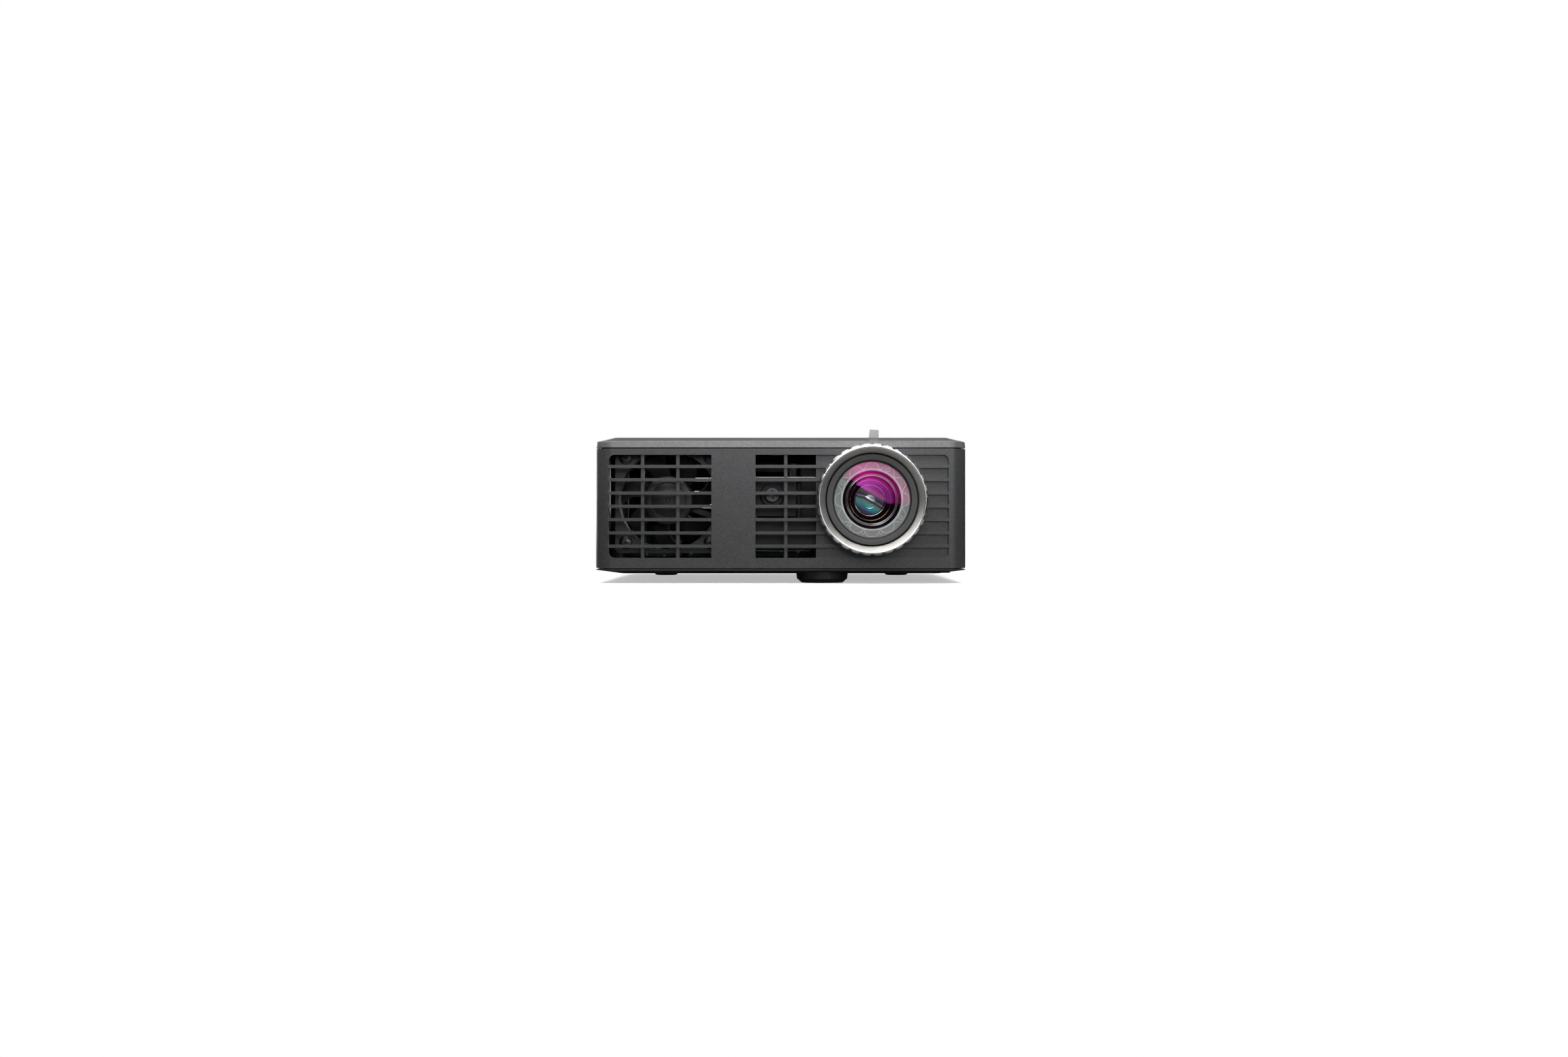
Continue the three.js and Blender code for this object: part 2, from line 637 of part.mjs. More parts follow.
function tripodInsert() {
  const [z0, z1] = [0.1, socketDepth];
  const [outer, bore] = [socketInsertRadius, socketRadius];
  return turnedUpright([[bore + 0.5, z0], [outer, z0], [outer, z1], [bore, z1], [bore, z0 + 0.5]], coarse);
}

// Countersunk drive is a plain cross.
function screw(radius, headRadius, headThick, length) {
  const body = turnedUpright([
    [0, 0.2], [headRadius - 0.2, 0.2], [headRadius, 0.4], [headRadius, headThick], [radius, headThick],
    [radius, headThick + length - 0.4], [radius - 0.4, headThick + length], [0, headThick + length],
  ], 12);
  const arm = headRadius * 0.55;
  return cutBy(body, [
    block(-arm, arm, -0.22, 0.22, 0, 0.8),
    block(-0.22, 0.22, -arm, arm, 0, 0.8),
  ]);
}

// ---------------------------------------------------------------------------------------------------------
// Lens group: y is measured from the case front, negative ahead of it
// ---------------------------------------------------------------------------------------------------------

const sleeveFront = -0.8;
const mountFront = -0.6;
const seatFloor = -2.5; // where the front glass's spacer rests in the barrel

function focusRing() {
  const back = -ringClearance;
  const body = turned([
    [ringLip, -ringProtrusion],
    [ringRadius, -ringProtrusion + 0.9],
    [ringRadius, back],
    [ringBore, back],
    [ringBore, -4.3],
    [ringLip - 0.25, -ringProtrusion],
  ], fine);
  const notches = [];
  for (let i = 0; i < notchCount; i++) {
    const notch = rodAlongY(notchRadius, -ringProtrusion - 1, back + 1, 10);
    const reach = ringRadius + notchRadius - notchDepth;
    notches.push(notch.translate([reach, 0, 0]).rotate([0, (i + 0.5) * 360 / notchCount, 0]));
  }
  return cutBy(body, notches);
}

function focusSleeve() {
  return tubeAlongY(sleeveRadius, sleeveRadius - sleeveWall, sleeveFront, sleeveFront + sleeveLength, medium);
}

function focusTab() {
  const top = lidTop - lensRise + tabHeight;
  const shape = new THREE.Shape();
  const [foot, half, tip] = [tabWidth / 2 + 1.2, tabWidth / 2, tabTopWidth / 2];
  shape.moveTo(-foot, sleeveRadius - 1);
  shape.lineTo(foot, sleeveRadius - 1);
  shape.lineTo(half, sleeveRadius + 1.6);
  shape.lineTo(tip, top - 0.25);
  shape.lineTo(tip - 0.25, top);
  shape.lineTo(-tip + 0.25, top);
  shape.lineTo(-tip, top - 0.25);
  shape.lineTo(-half, sleeveRadius + 1.6);
  const geometry = new THREE.ExtrudeGeometry(shape, { depth: tabThick, bevelEnabled: false });
  const lever = solid(geometry.rotateX(Math.PI / 2).translate(0, tabSetBack + tabThick, 0));
  const seated = lever.subtract(rodAlongY(sleeveRadius + 0.15, 0, tabSetBack + tabThick + 1, medium));
  return seated.rotate([0, focusRestDeg, 0]);
}

function lensMount() {
  const bore = mountRadius - mountWall;
  const [y0, y1] = [mountFront, mountFront + mountLength];
  return turned([
    [mountRadius, y0], [mountRadius, y1], [mountFlange, y1], [mountFlange, y1 + 2.8], [bore, y1 + 2.8], [bore, y0],
  ], medium);
}

function lensBarrel() {
  const front0 = -barrelFront;
  const back = front0 + barrelLength;
  return turned([
    [barrelFlange, front0 + 0.25],
    [barrelFlange, front0 + barrelFlangeThick],
    [barrelTube, front0 + barrelFlangeThick],
    [barrelTube, back],
    [rearGlassRadius + glassGap, back],
    [rearGlassRadius + glassGap, 9.4],
    [midGlassRadius - midSeat, 9.4],
    [midGlassRadius - midSeat, 3.2],
    [midGlassRadius + fit, 3.2],
    [midGlassRadius + fit, seatFloor],
    [frontGlassRadius + retainerWidth, seatFloor],
    [frontGlassRadius + retainerWidth, front0],
    [barrelFlange - 0.4, front0],
  ], medium);
}

function lensRetainer() {
  const [outer, inner] = [frontGlassRadius + retainerWidth - 0.15, frontGlassRadius + 0.15];
  return tubeAlongY(outer, inner, -barrelFront + 0.3, seatFloor - 0.15, medium);
}

function elementSpacer() {
  const outer = frontGlassRadius;
  return tubeAlongY(outer, midGlassRadius + fit, seatFloor - 0.5, seatFloor - 0.05, medium);
}

// Black cone that stops stray light, stepping in towards the rear glass.
function lensBaffle() {
  const outer = midGlassRadius - midSeat - 0.2;
  return turned([
    [outer, 3.4], [outer, 9.2], [baffleMouth, 9.2], [baffleMouth, 8], [outer - 0.4, 3.4],
  ], medium);
}

// ---------------------------------------------------------------------------------------------------------
// Fan: y is measured from its front face
// ---------------------------------------------------------------------------------------------------------

function fanFrame() {
  const slab = uprightPlate(fanSize, fanSize, 1.5, 0, fanDepth, 0, 0);
  const bore = rodAlongY(fanBore, -1, fanDepth + 1, medium);
  const motorBase = rodAlongY(fanHub - 0.4, fanDepth - 1.2, fanDepth, coarse);
  const bearing = tubeAlongY(1.9, 1.1, 1.6, fanDepth - 1, 16);
  const struts = [20, 140, 260].map((angle) =>
    block(fanHub - 1.4, fanBore + 0.5, fanDepth - 1.2, fanDepth, -0.8, 0.8).rotate([0, angle, 0]),
  );
  const half = fanSize / 2 - fanHoleInset;
  const holes = [[-half, -half], [half, -half], [half, half], [-half, half]].map(([x, z]) =>
    rodAlongY(1.6, -1, fanDepth + 1, 16).translate([x, 0, z]),
  );
  const shell = cutBy(slab.subtract(bore), holes);
  return joined([shell, motorBase, bearing, ...struts]);
}

function fanRotor() {
  const cup = turned([
    [0, 0.3], [fanHub - 0.8, 0.3], [fanHub, 0.9], [fanHub, fanDepth - 1.6], [fanHub - 0.8, fanDepth - 1.6],
    [fanHub - 0.8, 1.3], [0.8, 1.3], [0.8, fanDepth - 1.7], [0, fanDepth - 1.7],
  ], 28);
  const blades = [];
  const reach = fanBore - 0.7;
  for (let i = 0; i < fanBlades; i++) {
    const blade = block(fanHub - 0.4, reach, -2.6, 2.6, -0.3, 0.3).rotate([-50, 0, 0]);
    blades.push(blade.translate([0, 3.1, 0]).rotate([0, i * 360 / fanBlades, 0]));
  }
  const trim = rodAlongY(fanBore - 0.5, 0.3, fanDepth - 1.6, medium);
  return cup.add(joined(blades).subtract(rodAlongY(fanHub - 0.4, -5, 12, 28)).intersect(trim));
}

// ---------------------------------------------------------------------------------------------------------
// Light engine, in the case's frame
// ---------------------------------------------------------------------------------------------------------

const engine = {
  x0: lensX - 19.5,
  x1: lensX + 19.5,
  y0: front + mountFront + mountLength + 3.1,
  y1: front + 38,
  z0: 8.2,
  z1: 31.5,
  wall: 1.6,
};
const ledNames = ["red", "green", "blue"];
const collimatorRadius = 2.8;
const ledFirst = engine.y0 + engine.wall + fit + collimatorRadius;
const ledSpacing = (engine.y1 - engine.y0 - 2 * (engine.wall + fit + collimatorRadius)) / 2;
const ledY = (i) => ledFirst + i * ledSpacing;

function engineCase() {
  const { x0, x1, y0, y1, z0, z1, wall: w } = engine;
  const tub = block(x0, x1, y0, y1, z0, z1).subtract(block(x0 + w, x1 - w, y0 + w, y1 - w, z0 + w, z1 + 1));
  const lightHole = rodAlongY(8, y0 - 1, y0 + w + 1, coarse).translate([lensX, 0, lensRise]);
  const chipHole = block(lensX - 8, lensX + 8, y1 - w - 1, y1 + 1, lensRise - 6, lensRise + 6);
  const ledHoles = ledNames.map((_, i) =>
    rodAlongX(2.4, x0 - 1, x0 + w + 1, 12).translate([0, ledY(i), lensRise]),
  );
  const feet = [[x0 + 3, y1 - 4], [x1 - 3, y1 - 4], [x1 - 3, y0 + 4]].map(([x, y]) =>
    rodUpright(2, boardTop + 0.2, z0 + 0.5, 12).translate([x, y, 0]),
  );
  return joined([cutBy(tub, [lightHole, chipHole, ...ledHoles]), ...feet]);
}

function engineCover() {
  const { x0, x1, y0, y1, z1 } = engine;
  const sheet = block(x0, x1, y0, y1, z1 + 0.2, z1 + 1.4);
  const ribs = [0.3, 0.5, 0.7].map((share) => {
    const x = x0 + share * (x1 - x0);
    return block(x - 0.5, x + 0.5, y0 + 3, y1 - 3, z1 + 1.3, z1 + 2);
  });
  return joined([sheet, ...ribs]);
}

function prism() {
  const shape = new THREE.Shape([[-6, -6], [6, -6], [6, 6]].map(([x, y]) => new THREE.Vector2(x, y)));
  const geometry = new THREE.ExtrudeGeometry(shape, { depth: 12, bevelEnabled: false });
  return solid(geometry.translate(0, 0, -6));
}

function ledModule() {
  const board = block(-1, 0, -3, 3, -5, 5);
  const dome = rodAlongX(2, -0.1, 1.2, 12);
  return board.add(dome);
}

function collimator() {
  return lensBody(collimatorRadius, 0, 1.2, 0.9, 0.1, 16, 3).rotate([0, 0, -90]);
}

function heatSink() {
  const { x0, y0, z0, z1 } = engine;
  const [y2, y3] = [front + 8, y0 + 24];
  const base = block(x0 - 3.2, x0 - 1.5, y2, y3, z0, z1);
  const fins = [];
  const count = 6;
  for (let i = 0; i < count; i++) {
    const z = z0 + 0.4 + (i * (z1 - z0 - 1.7)) / (count - 1);
    fins.push(block(midGrille[0] - 4, x0 - 3, y2, y3, z, z + 0.9));
  }
  return joined([base, ...fins]);
}

function sinkBracket() {
  const [y0, y1] = [front + wall + 3, front + wall + 4.2];
  const x0 = midGrille[0] - 1.5;
  const tall = block(x0, engine.x0 - 1.5, y0, y1, 16.2, 27.5);
  const low = block(x0, engine.x0 + 6, y0, y1, 6.8, 15.5);
  const web = block(x0, x0 + 2, y0, y1, 6.8, 27.5);
  const shelf = block(x0, engine.x0 - 1.5, y0, front + 7.8, 26.6, 27.5);
  const boss = tubeAlongY(3.4, 1.2, y0 - 0.8, y1, coarse).translate([midGrille[0] + 4.7, 0, 22.3]);
  const bore = rodAlongY(1.25, y0 - 2, y1 + 1, 16).translate([midGrille[0] + 4.7, 0, 22.3]);
  return joined([tall, low, web, shelf, boss]).subtract(bore);
}

function dmdHeatSink() {
  const base = block(-12, 12, 0, 1.5, -9, 9);
  const fins = [];
  for (let i = 0; i < 7; i++) fins.push(block(-12 + i * 3.85, -11.1 + i * 3.85, 1, 7, -9, 9));
  return joined([base, ...fins]);
}

// ---------------------------------------------------------------------------------------------------------
// Boards and sockets
// ---------------------------------------------------------------------------------------------------------

const mainBoard = { x0: panelX0 + 1, x1: right - wall - 3.4, y0: front + 20, y1: rear - wall - 2.4 };
const powerBoard = { x0: left + wall + 3.6, x1: panelX0 - 1, y0: front + 21, y1: rear - 24 };

function boardHoles() {
  const inset = 4;
  const places = [];
  for (const { x0, x1, y0, y1 } of [mainBoard, powerBoard]) {
    places.push([x0 + inset, y0 + inset], [x1 - inset, y1 - inset - 12]);
  }
  return places;
}

function circuitBoard({ x0, x1, y0, y1 }, parts) {
  const chips = parts.map(([x, y, w, d, h]) => block(x, x + w, y, y + d, boardTop - 0.1, boardTop + h));
  return joined([block(x0, x1, y0, y1, boardRise + 0.15, boardTop), ...chips]);
}

function mainBoardBody() {
  const { x0, x1, y0, y1 } = mainBoard;
  const parts = [
    [x0 + 3, y0 + 18, 9, 11, 1.2],
    [x0 + 14, y0 + 46, 5, 5, 2.6],
    [x0 + 26, y0 + 40, 7, 5, 1],
    [x1 - 9, y0 + 44, 4, 4, 3],
    [x0 + 5, y0 + 34, 6, 4, 1.4],
  ].filter(([, y, , d]) => y + d < y1 - 16);
  const opening = rodUpright(socketBoss + fit, 0, 20, coarse).translate([...socketPlace, 0]);
  const corner = rodUpright(postRadius + 0.6, 0, 20, 16).translate([...postPlaces[3], 0]);
  return cutBy(circuitBoard(mainBoard, parts), [opening, corner]);
}

function powerBoardBody() {
  const { x0, x1, y0 } = powerBoard;
  const parts = [
    [x0 + 3, y0 + 16, 8, 8, 5],
    [x0 + 13, y0 + 5, 4, 9, 6],
    [x0 + 3, y0 + 28, 10, 6, 3],
  ].filter(([x, , w]) => x + w < x1);
  const can = rodUpright(3, boardTop - 0.1, boardTop + 8, 16).translate([x0 + 6, y0 + 9, 0]);
  const corner = rodUpright(postRadius + 0.6, 0, 20, 16).translate([...postPlaces[0], 0]);
  return circuitBoard(powerBoard, parts).add(can).subtract(corner);
}

// A metal socket shell open to the rear, with its tongue; y runs back from the mouth.
function shellSocket({ width, height, depth }, thick, tongueWidth, tongueRise, tongueThick) {
  const half = width / 2;
  const shell = block(-half, half, -depth, 0, 0, height);
  const hollow = block(-half + thick, half - thick, -depth + 1, 1, thick, height - thick);
  const tongue = block(-tongueWidth / 2, tongueWidth / 2, -depth + 0.5, -1.6, tongueRise, tongueRise + tongueThick);
  return shell.subtract(hollow).add(tongue);
}

function hdmiPort() {
  const shell = shellSocket(hdmi, 0.5, 11, hdmi.height / 2 - 0.3, 1);
  const bevel = (side) => block(-2, 2, -hdmi.depth - 1, 1, -2, 2)
    .rotate([0, 45, 0])
    .translate([side * (hdmi.width / 2 + 1.1), 0, -1.1]);
  return cutBy(shell, [bevel(1), bevel(-1)]);
}

function audioJack() {
  const { width, height, depth, hole, collar } = audio;
  const shoulder = mouthSetBack - wall - 0.2 - rearFlange - fit;
  const body = block(-width / 2, width / 2, -depth, shoulder, 0, height);
  const nose = rodAlongY(collar, shoulder - 0.5, 0, coarse).translate([0, 0, height / 2]);
  return body.add(nose).subtract(rodAlongY(hole, -depth + 2, 1, coarse).translate([0, 0, height / 2]));
}

function dcJack() {
  const { width, height, depth, hole, pin } = power;
  const centre = [0, 0, height / 2];
  const body = block(-width / 2, width / 2, -depth, 0, 0, height);
  const bore = rodAlongY(hole, -depth + 1.5, 1, coarse).translate(centre);
  return body.subtract(bore).add(rodAlongY(pin, -depth + 1, -1, 12).translate(centre));
}

function cardSlot() {
  const { width, height, depth } = card;
  const shell = block(-width / 2, width / 2, -depth, 0, 0, height);
  return shell.subtract(block(-width / 2 + 1.1, width / 2 - 1.1, -depth + 1, 1, 0.7, height - 0.7));
}

function speaker() {
  const basket = rodAlongX(9.5, 0, 1.4, coarse).add(rodAlongX(6.5, 1, 5, coarse));
  return basket.subtract(rodAlongX(7.6, -1, 0.8, coarse)).add(rodAlongX(3, 0.4, 1, 16));
}

// ---------------------------------------------------------------------------------------------------------
// Keys
// ---------------------------------------------------------------------------------------------------------

function keyBody({ width, depth }) {
  const radius = Math.min(keyRadius, width / 2 - 0.1);
  const cap = plate(width, depth, radius, keyBase, lidTop + keyProud, 2);
  const flange = plate(width + 2 * keyFlange, depth + 2 * keyFlange, radius, keyBase, keyBase + 0.5, 1);
  const plunger = rodUpright(1.1, keyBase - 0.4, keyBase + 0.2, 8);
  return joined([cap, flange, plunger]);
}

function keypadBoard() {
  const sheet = block(-panelWidth / 2 + 1, panelWidth / 2 - 1, -panelDepth / 2, panelDepth / 2, -1.8, -0.8);
  const domes = keys.map(({ x, y }) => rodUpright(1.6, -0.9, 0, 8).translate([x - panelX, y - panelY, 0]));
  return joined([sheet, ...domes]);
}

// ---------------------------------------------------------------------------------------------------------
// Assembly
// ---------------------------------------------------------------------------------------------------------

const projector = new THREE.Group();
projector.name = "projector";

// Everything sits in the case's frame: lifted onto its feet, and moved back by half of what the ring adds.
const caseFrame = new THREE.Group();
caseFrame.position.set(0, ringProtrusion / 2, footDrop);
projector.add(caseFrame);

caseFrame.add(
  piece("housing", housing(), "casing"),
  piece("top_cover", topCover(), "casing"),
  piece("base_cover", baseCover(), "casingDark"),
  piece("rear_panel", rearPanel(), "casingDark"),
);

const postNames = ["front_left", "front_right", "rear_left", "rear_right"];
postPlaces.forEach(([x, y], i) => {
  caseFrame.add(piece(`case_screw_${postNames[i]}`, screw(screwRadius, screwHeadRadius, screwHeadThick, 7), "steel", x, y));
});
rearFootPlaces.forEach(([x, y], i) => {
  caseFrame.add(piece(["rear_foot_left", "rear_foot_right"][i], rearFoot(), "rubber", x, y));
});
caseFrame.add(
  piece("tripod_insert", tripodInsert(), "brass", ...socketPlace),
  piece("tilt_foot_wheel", tiltWheel(), "blackPlastic", tiltX, tiltY),
  piece("tilt_foot_stud", tiltStud(), "steel", tiltX, tiltY),
);

const lensGroup = new THREE.Group();
lensGroup.position.set(lensX, front, lensRise);
lensGroup.add(
  piece("focus_ring", focusRing(), "satinSilver"),
  piece("focus_sleeve", focusSleeve(), "blackPlastic"),
  piece("focus_tab", focusTab(), "greyPlastic"),
  piece("lens_mount", lensMount(), "magnesium"),
  piece("lens_barrel", lensBarrel(), "casingDark"),
  piece("lens_retainer", lensRetainer(), "blackPlastic"),
  piece("front_element", lensBody(frontGlassRadius, -3.9, seatFloor - 0.65, 1, -0.9, medium), "lensGlass"),
  piece("element_spacer", elementSpacer(), "greyPlastic"),
  piece("middle_element", lensBody(midGlassRadius, -0.4, 1.4, 0.8, 0.6, 32), "lensGlass"),
  piece("lens_baffle", lensBaffle(), "blackPlastic"),
  piece("rear_element", lensBody(rearGlassRadius, 9.7, 11.2, 0, 0.9, coarse), "lensGlass"),
);
caseFrame.add(lensGroup);

const fanGroup = new THREE.Group();
fanGroup.position.set(fanX, front + wall + fanSetBack, fanRise);
fanGroup.add(
  piece("fan_frame", fanFrame(), "blackPlastic"),
  piece("fan_rotor", fanRotor(), "blackPlastic"),
);
caseFrame.add(fanGroup);

caseFrame.add(
  piece("engine_case", engineCase(), "magnesium"),
  piece("engine_cover", engineCover(), "magnesium"),
  piece("prism", prism(), "lensGlass", lensX, engine.y0 + 10, lensRise),
  piece("dmd_chip", block(-7, 7, 0, 2, -5.5, 5.5), "steel", lensX, engine.y1 - 1.9, lensRise),
  piece("dmd_board", block(-16, 16, 0, 1.2, -11.5, 11.5), "board", lensX, engine.y1 + 0.3, lensRise),
  piece("dmd_heat_sink", dmdHeatSink(), "aluminium", lensX, engine.y1 + 1.8, lensRise),
  piece("heat_sink", heatSink(), "aluminium"),
  piece("sink_bracket", sinkBracket(), "steel"),
);
ledNames.forEach((name, i) => {
  caseFrame.add(
    piece(`led_${name}`, ledModule(), "board", engine.x0 - 0.2, ledY(i), lensRise),
    piece(`collimator_${name}`, collimator(), "lensGlass", engine.x0 + 2.9, ledY(i), lensRise),
  );
});
const sinkScrew = piece("sink_screw", screw(1, 2.2, 1, 3.6), "steel", midGrille[0] + 4.7, front + wall + 1, 22.3);
sinkScrew.rotation.x = -Math.PI / 2;
caseFrame.add(sinkScrew);

caseFrame.add(
  piece("main_board", mainBoardBody(), "board"),
  piece("power_board", powerBoardBody(), "board"),
  piece("processor", block(-7, 7, -7, 7, 0, 2.2), "aluminium", mainBoard.x1 - 20, front + 60, boardTop + 0.15),
  piece("hdmi_port", hdmiPort(), "steel", sockets[0].x, rear - mouthSetBack, boardTop + 0.1),
  piece("usb_port", shellSocket(usb, 0.5, 11, usb.height - 2.9, 1.8), "steel", sockets[1].x, rear - mouthSetBack, boardTop + 0.1),
  piece("audio_jack", audioJack(), "blackPlastic", sockets[2].x, rear - mouthSetBack, boardTop + 0.1),
  piece("dc_jack", dcJack(), "blackPlastic", sockets[3].x, rear - mouthSetBack, boardTop + 0.1),
  piece("card_slot", cardSlot(), "steel", sockets[4].x, rear - mouthSetBack, boardTop + 0.1),
  piece("speaker", speaker(), "blackPlastic", left + wall + 1.2, rear - 22, fanRise - 1),
  piece("keypad_board", keypadBoard(), "board", panelX, panelY, keypadTop),
);
keys.forEach((key) => {
  const cap = piece(key.name, keyBody(key), "casingDark", key.x, key.y);
  caseFrame.add(cap);
});

export default projector;
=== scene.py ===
"""The looks of a pocket projector: a dark flaked case, a silver focus ring, a coated lens, a fan, keys and sockets."""
import json
import math

import bmesh
import bpy
from mathutils import Matrix, Vector

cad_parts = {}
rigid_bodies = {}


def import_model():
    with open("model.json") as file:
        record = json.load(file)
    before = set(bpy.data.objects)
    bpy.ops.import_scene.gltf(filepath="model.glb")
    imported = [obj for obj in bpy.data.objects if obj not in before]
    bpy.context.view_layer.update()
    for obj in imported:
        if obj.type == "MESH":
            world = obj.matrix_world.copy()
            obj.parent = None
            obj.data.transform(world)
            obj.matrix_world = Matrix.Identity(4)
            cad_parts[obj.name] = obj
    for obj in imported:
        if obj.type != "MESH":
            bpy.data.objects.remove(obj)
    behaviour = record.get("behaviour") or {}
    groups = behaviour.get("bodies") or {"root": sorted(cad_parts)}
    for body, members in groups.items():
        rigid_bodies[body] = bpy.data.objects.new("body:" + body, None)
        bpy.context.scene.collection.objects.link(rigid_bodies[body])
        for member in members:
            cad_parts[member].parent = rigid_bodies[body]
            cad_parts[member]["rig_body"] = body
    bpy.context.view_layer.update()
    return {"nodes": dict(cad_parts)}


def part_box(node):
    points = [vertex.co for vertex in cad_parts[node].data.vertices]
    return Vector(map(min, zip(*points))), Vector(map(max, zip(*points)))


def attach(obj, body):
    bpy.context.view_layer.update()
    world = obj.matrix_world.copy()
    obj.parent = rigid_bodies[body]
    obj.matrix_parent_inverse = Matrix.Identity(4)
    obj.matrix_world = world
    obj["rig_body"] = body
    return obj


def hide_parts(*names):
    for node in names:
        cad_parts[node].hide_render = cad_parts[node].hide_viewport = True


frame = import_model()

MM = 0.001
scene = bpy.context.scene
nodes = frame["nodes"]


def in_mm(node):
    """Lowest and highest corner of a CAD node, in millimetres."""
    low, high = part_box(node)
    return low / MM, high / MM


ring_low, ring_high = in_mm("focus_ring")
LENS_X = (ring_low.x + ring_high.x) / 2
LENS_Z = (ring_low.z + ring_high.z) / 2
FRONT = in_mm("housing")[0].y
LID_TOP = in_mm("top_cover")[1].z


# ------------------------------------------------------------------ camera, light and table

CAMERA_DISTANCE = 0.45
FRAME_WIDTH = 0.4412  # width of the view at the case's front
CAMERA_X = 0.00095
CAMERA_RISE = 15.53  # above the table, in mm
SENSOR_WIDTH = 36


def aim_camera():
    data = bpy.data.cameras.new("camera")
    data.sensor_width = SENSOR_WIDTH
    data.lens = SENSOR_WIDTH * CAMERA_DISTANCE / FRAME_WIDTH
    data.clip_start = 0.01
    camera = bpy.data.objects.new("camera", data)
    camera.location = (CAMERA_X, FRONT * MM - CAMERA_DISTANCE, CAMERA_RISE * MM)
    camera.rotation_euler = (math.radians(90), 0, 0)
    scene.collection.objects.link(camera)
    scene.camera = camera


HOT_RADIUS = 0.3  # of the brighter spot in a soft box


def emitter(name, width, height, centre, target, strength, roll=0.0, hot=0.0, hot_place=(0, 0)):
    """A soft box: a glowing sheet turned to face target, brighter by hot round hot_place."""
    bm = bmesh.new()
    bmesh.ops.create_grid(bm, x_segments=1, y_segments=1, size=0.5)
    bmesh.ops.scale(bm, vec=(width, height, 1), verts=bm.verts)
    mesh = bpy.data.meshes.new(name)
    bm.to_mesh(mesh)
    bm.free()
    sheet = bpy.data.objects.new(name, mesh)
    facing = (Vector(target) - Vector(centre)).to_track_quat("Z", "Y").to_matrix().to_4x4()
    sheet.matrix_world = Matrix.Translation(centre) @ facing @ Matrix.Rotation(roll, 4, "Z")
    scene.collection.objects.link(sheet)
    material = bpy.data.materials.new(name)
    material.use_nodes = True
    tree = material.node_tree
    tree.nodes.clear()
    output = tree.nodes.new("ShaderNodeOutputMaterial")
    glow = tree.nodes.new("ShaderNodeEmission")
    glow.inputs["Strength"].default_value = strength
    tree.links.new(glow.outputs[0], output.inputs["Surface"])
    if hot:
        place = tree.nodes.new("ShaderNodeTexCoord")
        mapping = tree.nodes.new("ShaderNodeMapping")
        mapping.inputs["Location"].default_value = (-hot_place[0] / HOT_RADIUS, -hot_place[1] / HOT_RADIUS, 0)
        mapping.inputs["Scale"].default_value = (1 / HOT_RADIUS,) * 3
        ball = tree.nodes.new("ShaderNodeTexGradient")
        ball.gradient_type = "QUADRATIC_SPHERE"
        scale = tree.nodes.new("ShaderNodeMath")
        scale.operation = "MULTIPLY_ADD"
        scale.inputs[1].default_value = hot * strength
        scale.inputs[2].default_value = strength
        tree.links.new(place.outputs["Object"], mapping.inputs["Vector"])
        tree.links.new(mapping.outputs["Vector"], ball.inputs["Vector"])
        tree.links.new(ball.outputs["Fac"], scale.inputs[0])
        tree.links.new(scale.outputs[0], glow.inputs["Strength"])
    mesh.materials.append(material)
    sheet.visible_camera = False


AIM = (0, 0, 0.02)  # the middle of the projector
BOX_HALF_HEIGHT = 0.35
FRONT_BOX_EDGE = Vector((-0.03, -0.9, 0.165))
FRONT_BOX_SLANT = math.radians(-31)
FILL_LIGHT = 0.2
MIRRORED_ROOM = 0.04


def light_room():
    world = bpy.data.worlds.new("room")
    scene.world = world
    world.use_nodes = True
    tree = world.node_tree
    tree.nodes.clear()
    output = tree.nodes.new("ShaderNodeOutputWorld")
    seen = tree.nodes.new("ShaderNodeBackground")
    seen.inputs["Color"].default_value = (1, 1, 1, 1)
    seen.inputs["Strength"].default_value = 1.0
    around = tree.nodes.new("ShaderNodeBackground")
    around.inputs["Color"].default_value = (1, 1, 1, 1)
    # What shiny faces mirror is darker than the fill light, as in a studio hung with dark cloth.
    dim = tree.nodes.new("ShaderNodeMapRange")
    dim.inputs["To Min"].default_value = FILL_LIGHT
    dim.inputs["To Max"].default_value = MIRRORED_ROOM
    pick = tree.nodes.new("ShaderNodeMixShader")
    path = tree.nodes.new("ShaderNodeLightPath")
    tree.links.new(path.outputs["Is Glossy Ray"], dim.inputs["Value"])
    tree.links.new(dim.outputs["Result"], around.inputs["Strength"])
    tree.links.new(path.outputs["Is Camera Ray"], pick.inputs[0])
    tree.links.new(around.outputs[0], pick.inputs[1])
    tree.links.new(seen.outputs[0], pick.inputs[2])
    tree.links.new(pick.outputs[0], output.inputs["Surface"])
    # The front box's lower edge slants down to the right, which is the edge seen in the lens.
    up = Vector((math.sin(-FRONT_BOX_SLANT), 0, math.cos(FRONT_BOX_SLANT)))
    centre = FRONT_BOX_EDGE + up * BOX_HALF_HEIGHT
    emitter(
        "front_box", 1.3, 2 * BOX_HALF_HEIGHT, centre, centre + Vector((0, 1, 0)), 1.9,
        roll=-FRONT_BOX_SLANT, hot=3.0, hot_place=(0.06, -0.26),
    )
    emitter("top_box", 1.1, 0.8, (0, -0.05, 0.8), (0, 0, 0), 1.8)
    emitter("near_strip", 0.19, 0.026, (0.0, -0.075, 0.088), (0.0, -0.047, 0.02), 7.5)
    emitter("back_box", 1.3, 0.6, (-0.2, 0.8, 0.9), AIM, 1.2)
    emitter("low_back_box", 1.3, 0.24, (-0.2, 0.9, 0.13), AIM, 4.0)
    for side in (-1, 1):
        emitter(f"side_box_{side + 1}", 0.7, 0.5, (side * 1.1, 0.15, 0.4), AIM, 0.45)


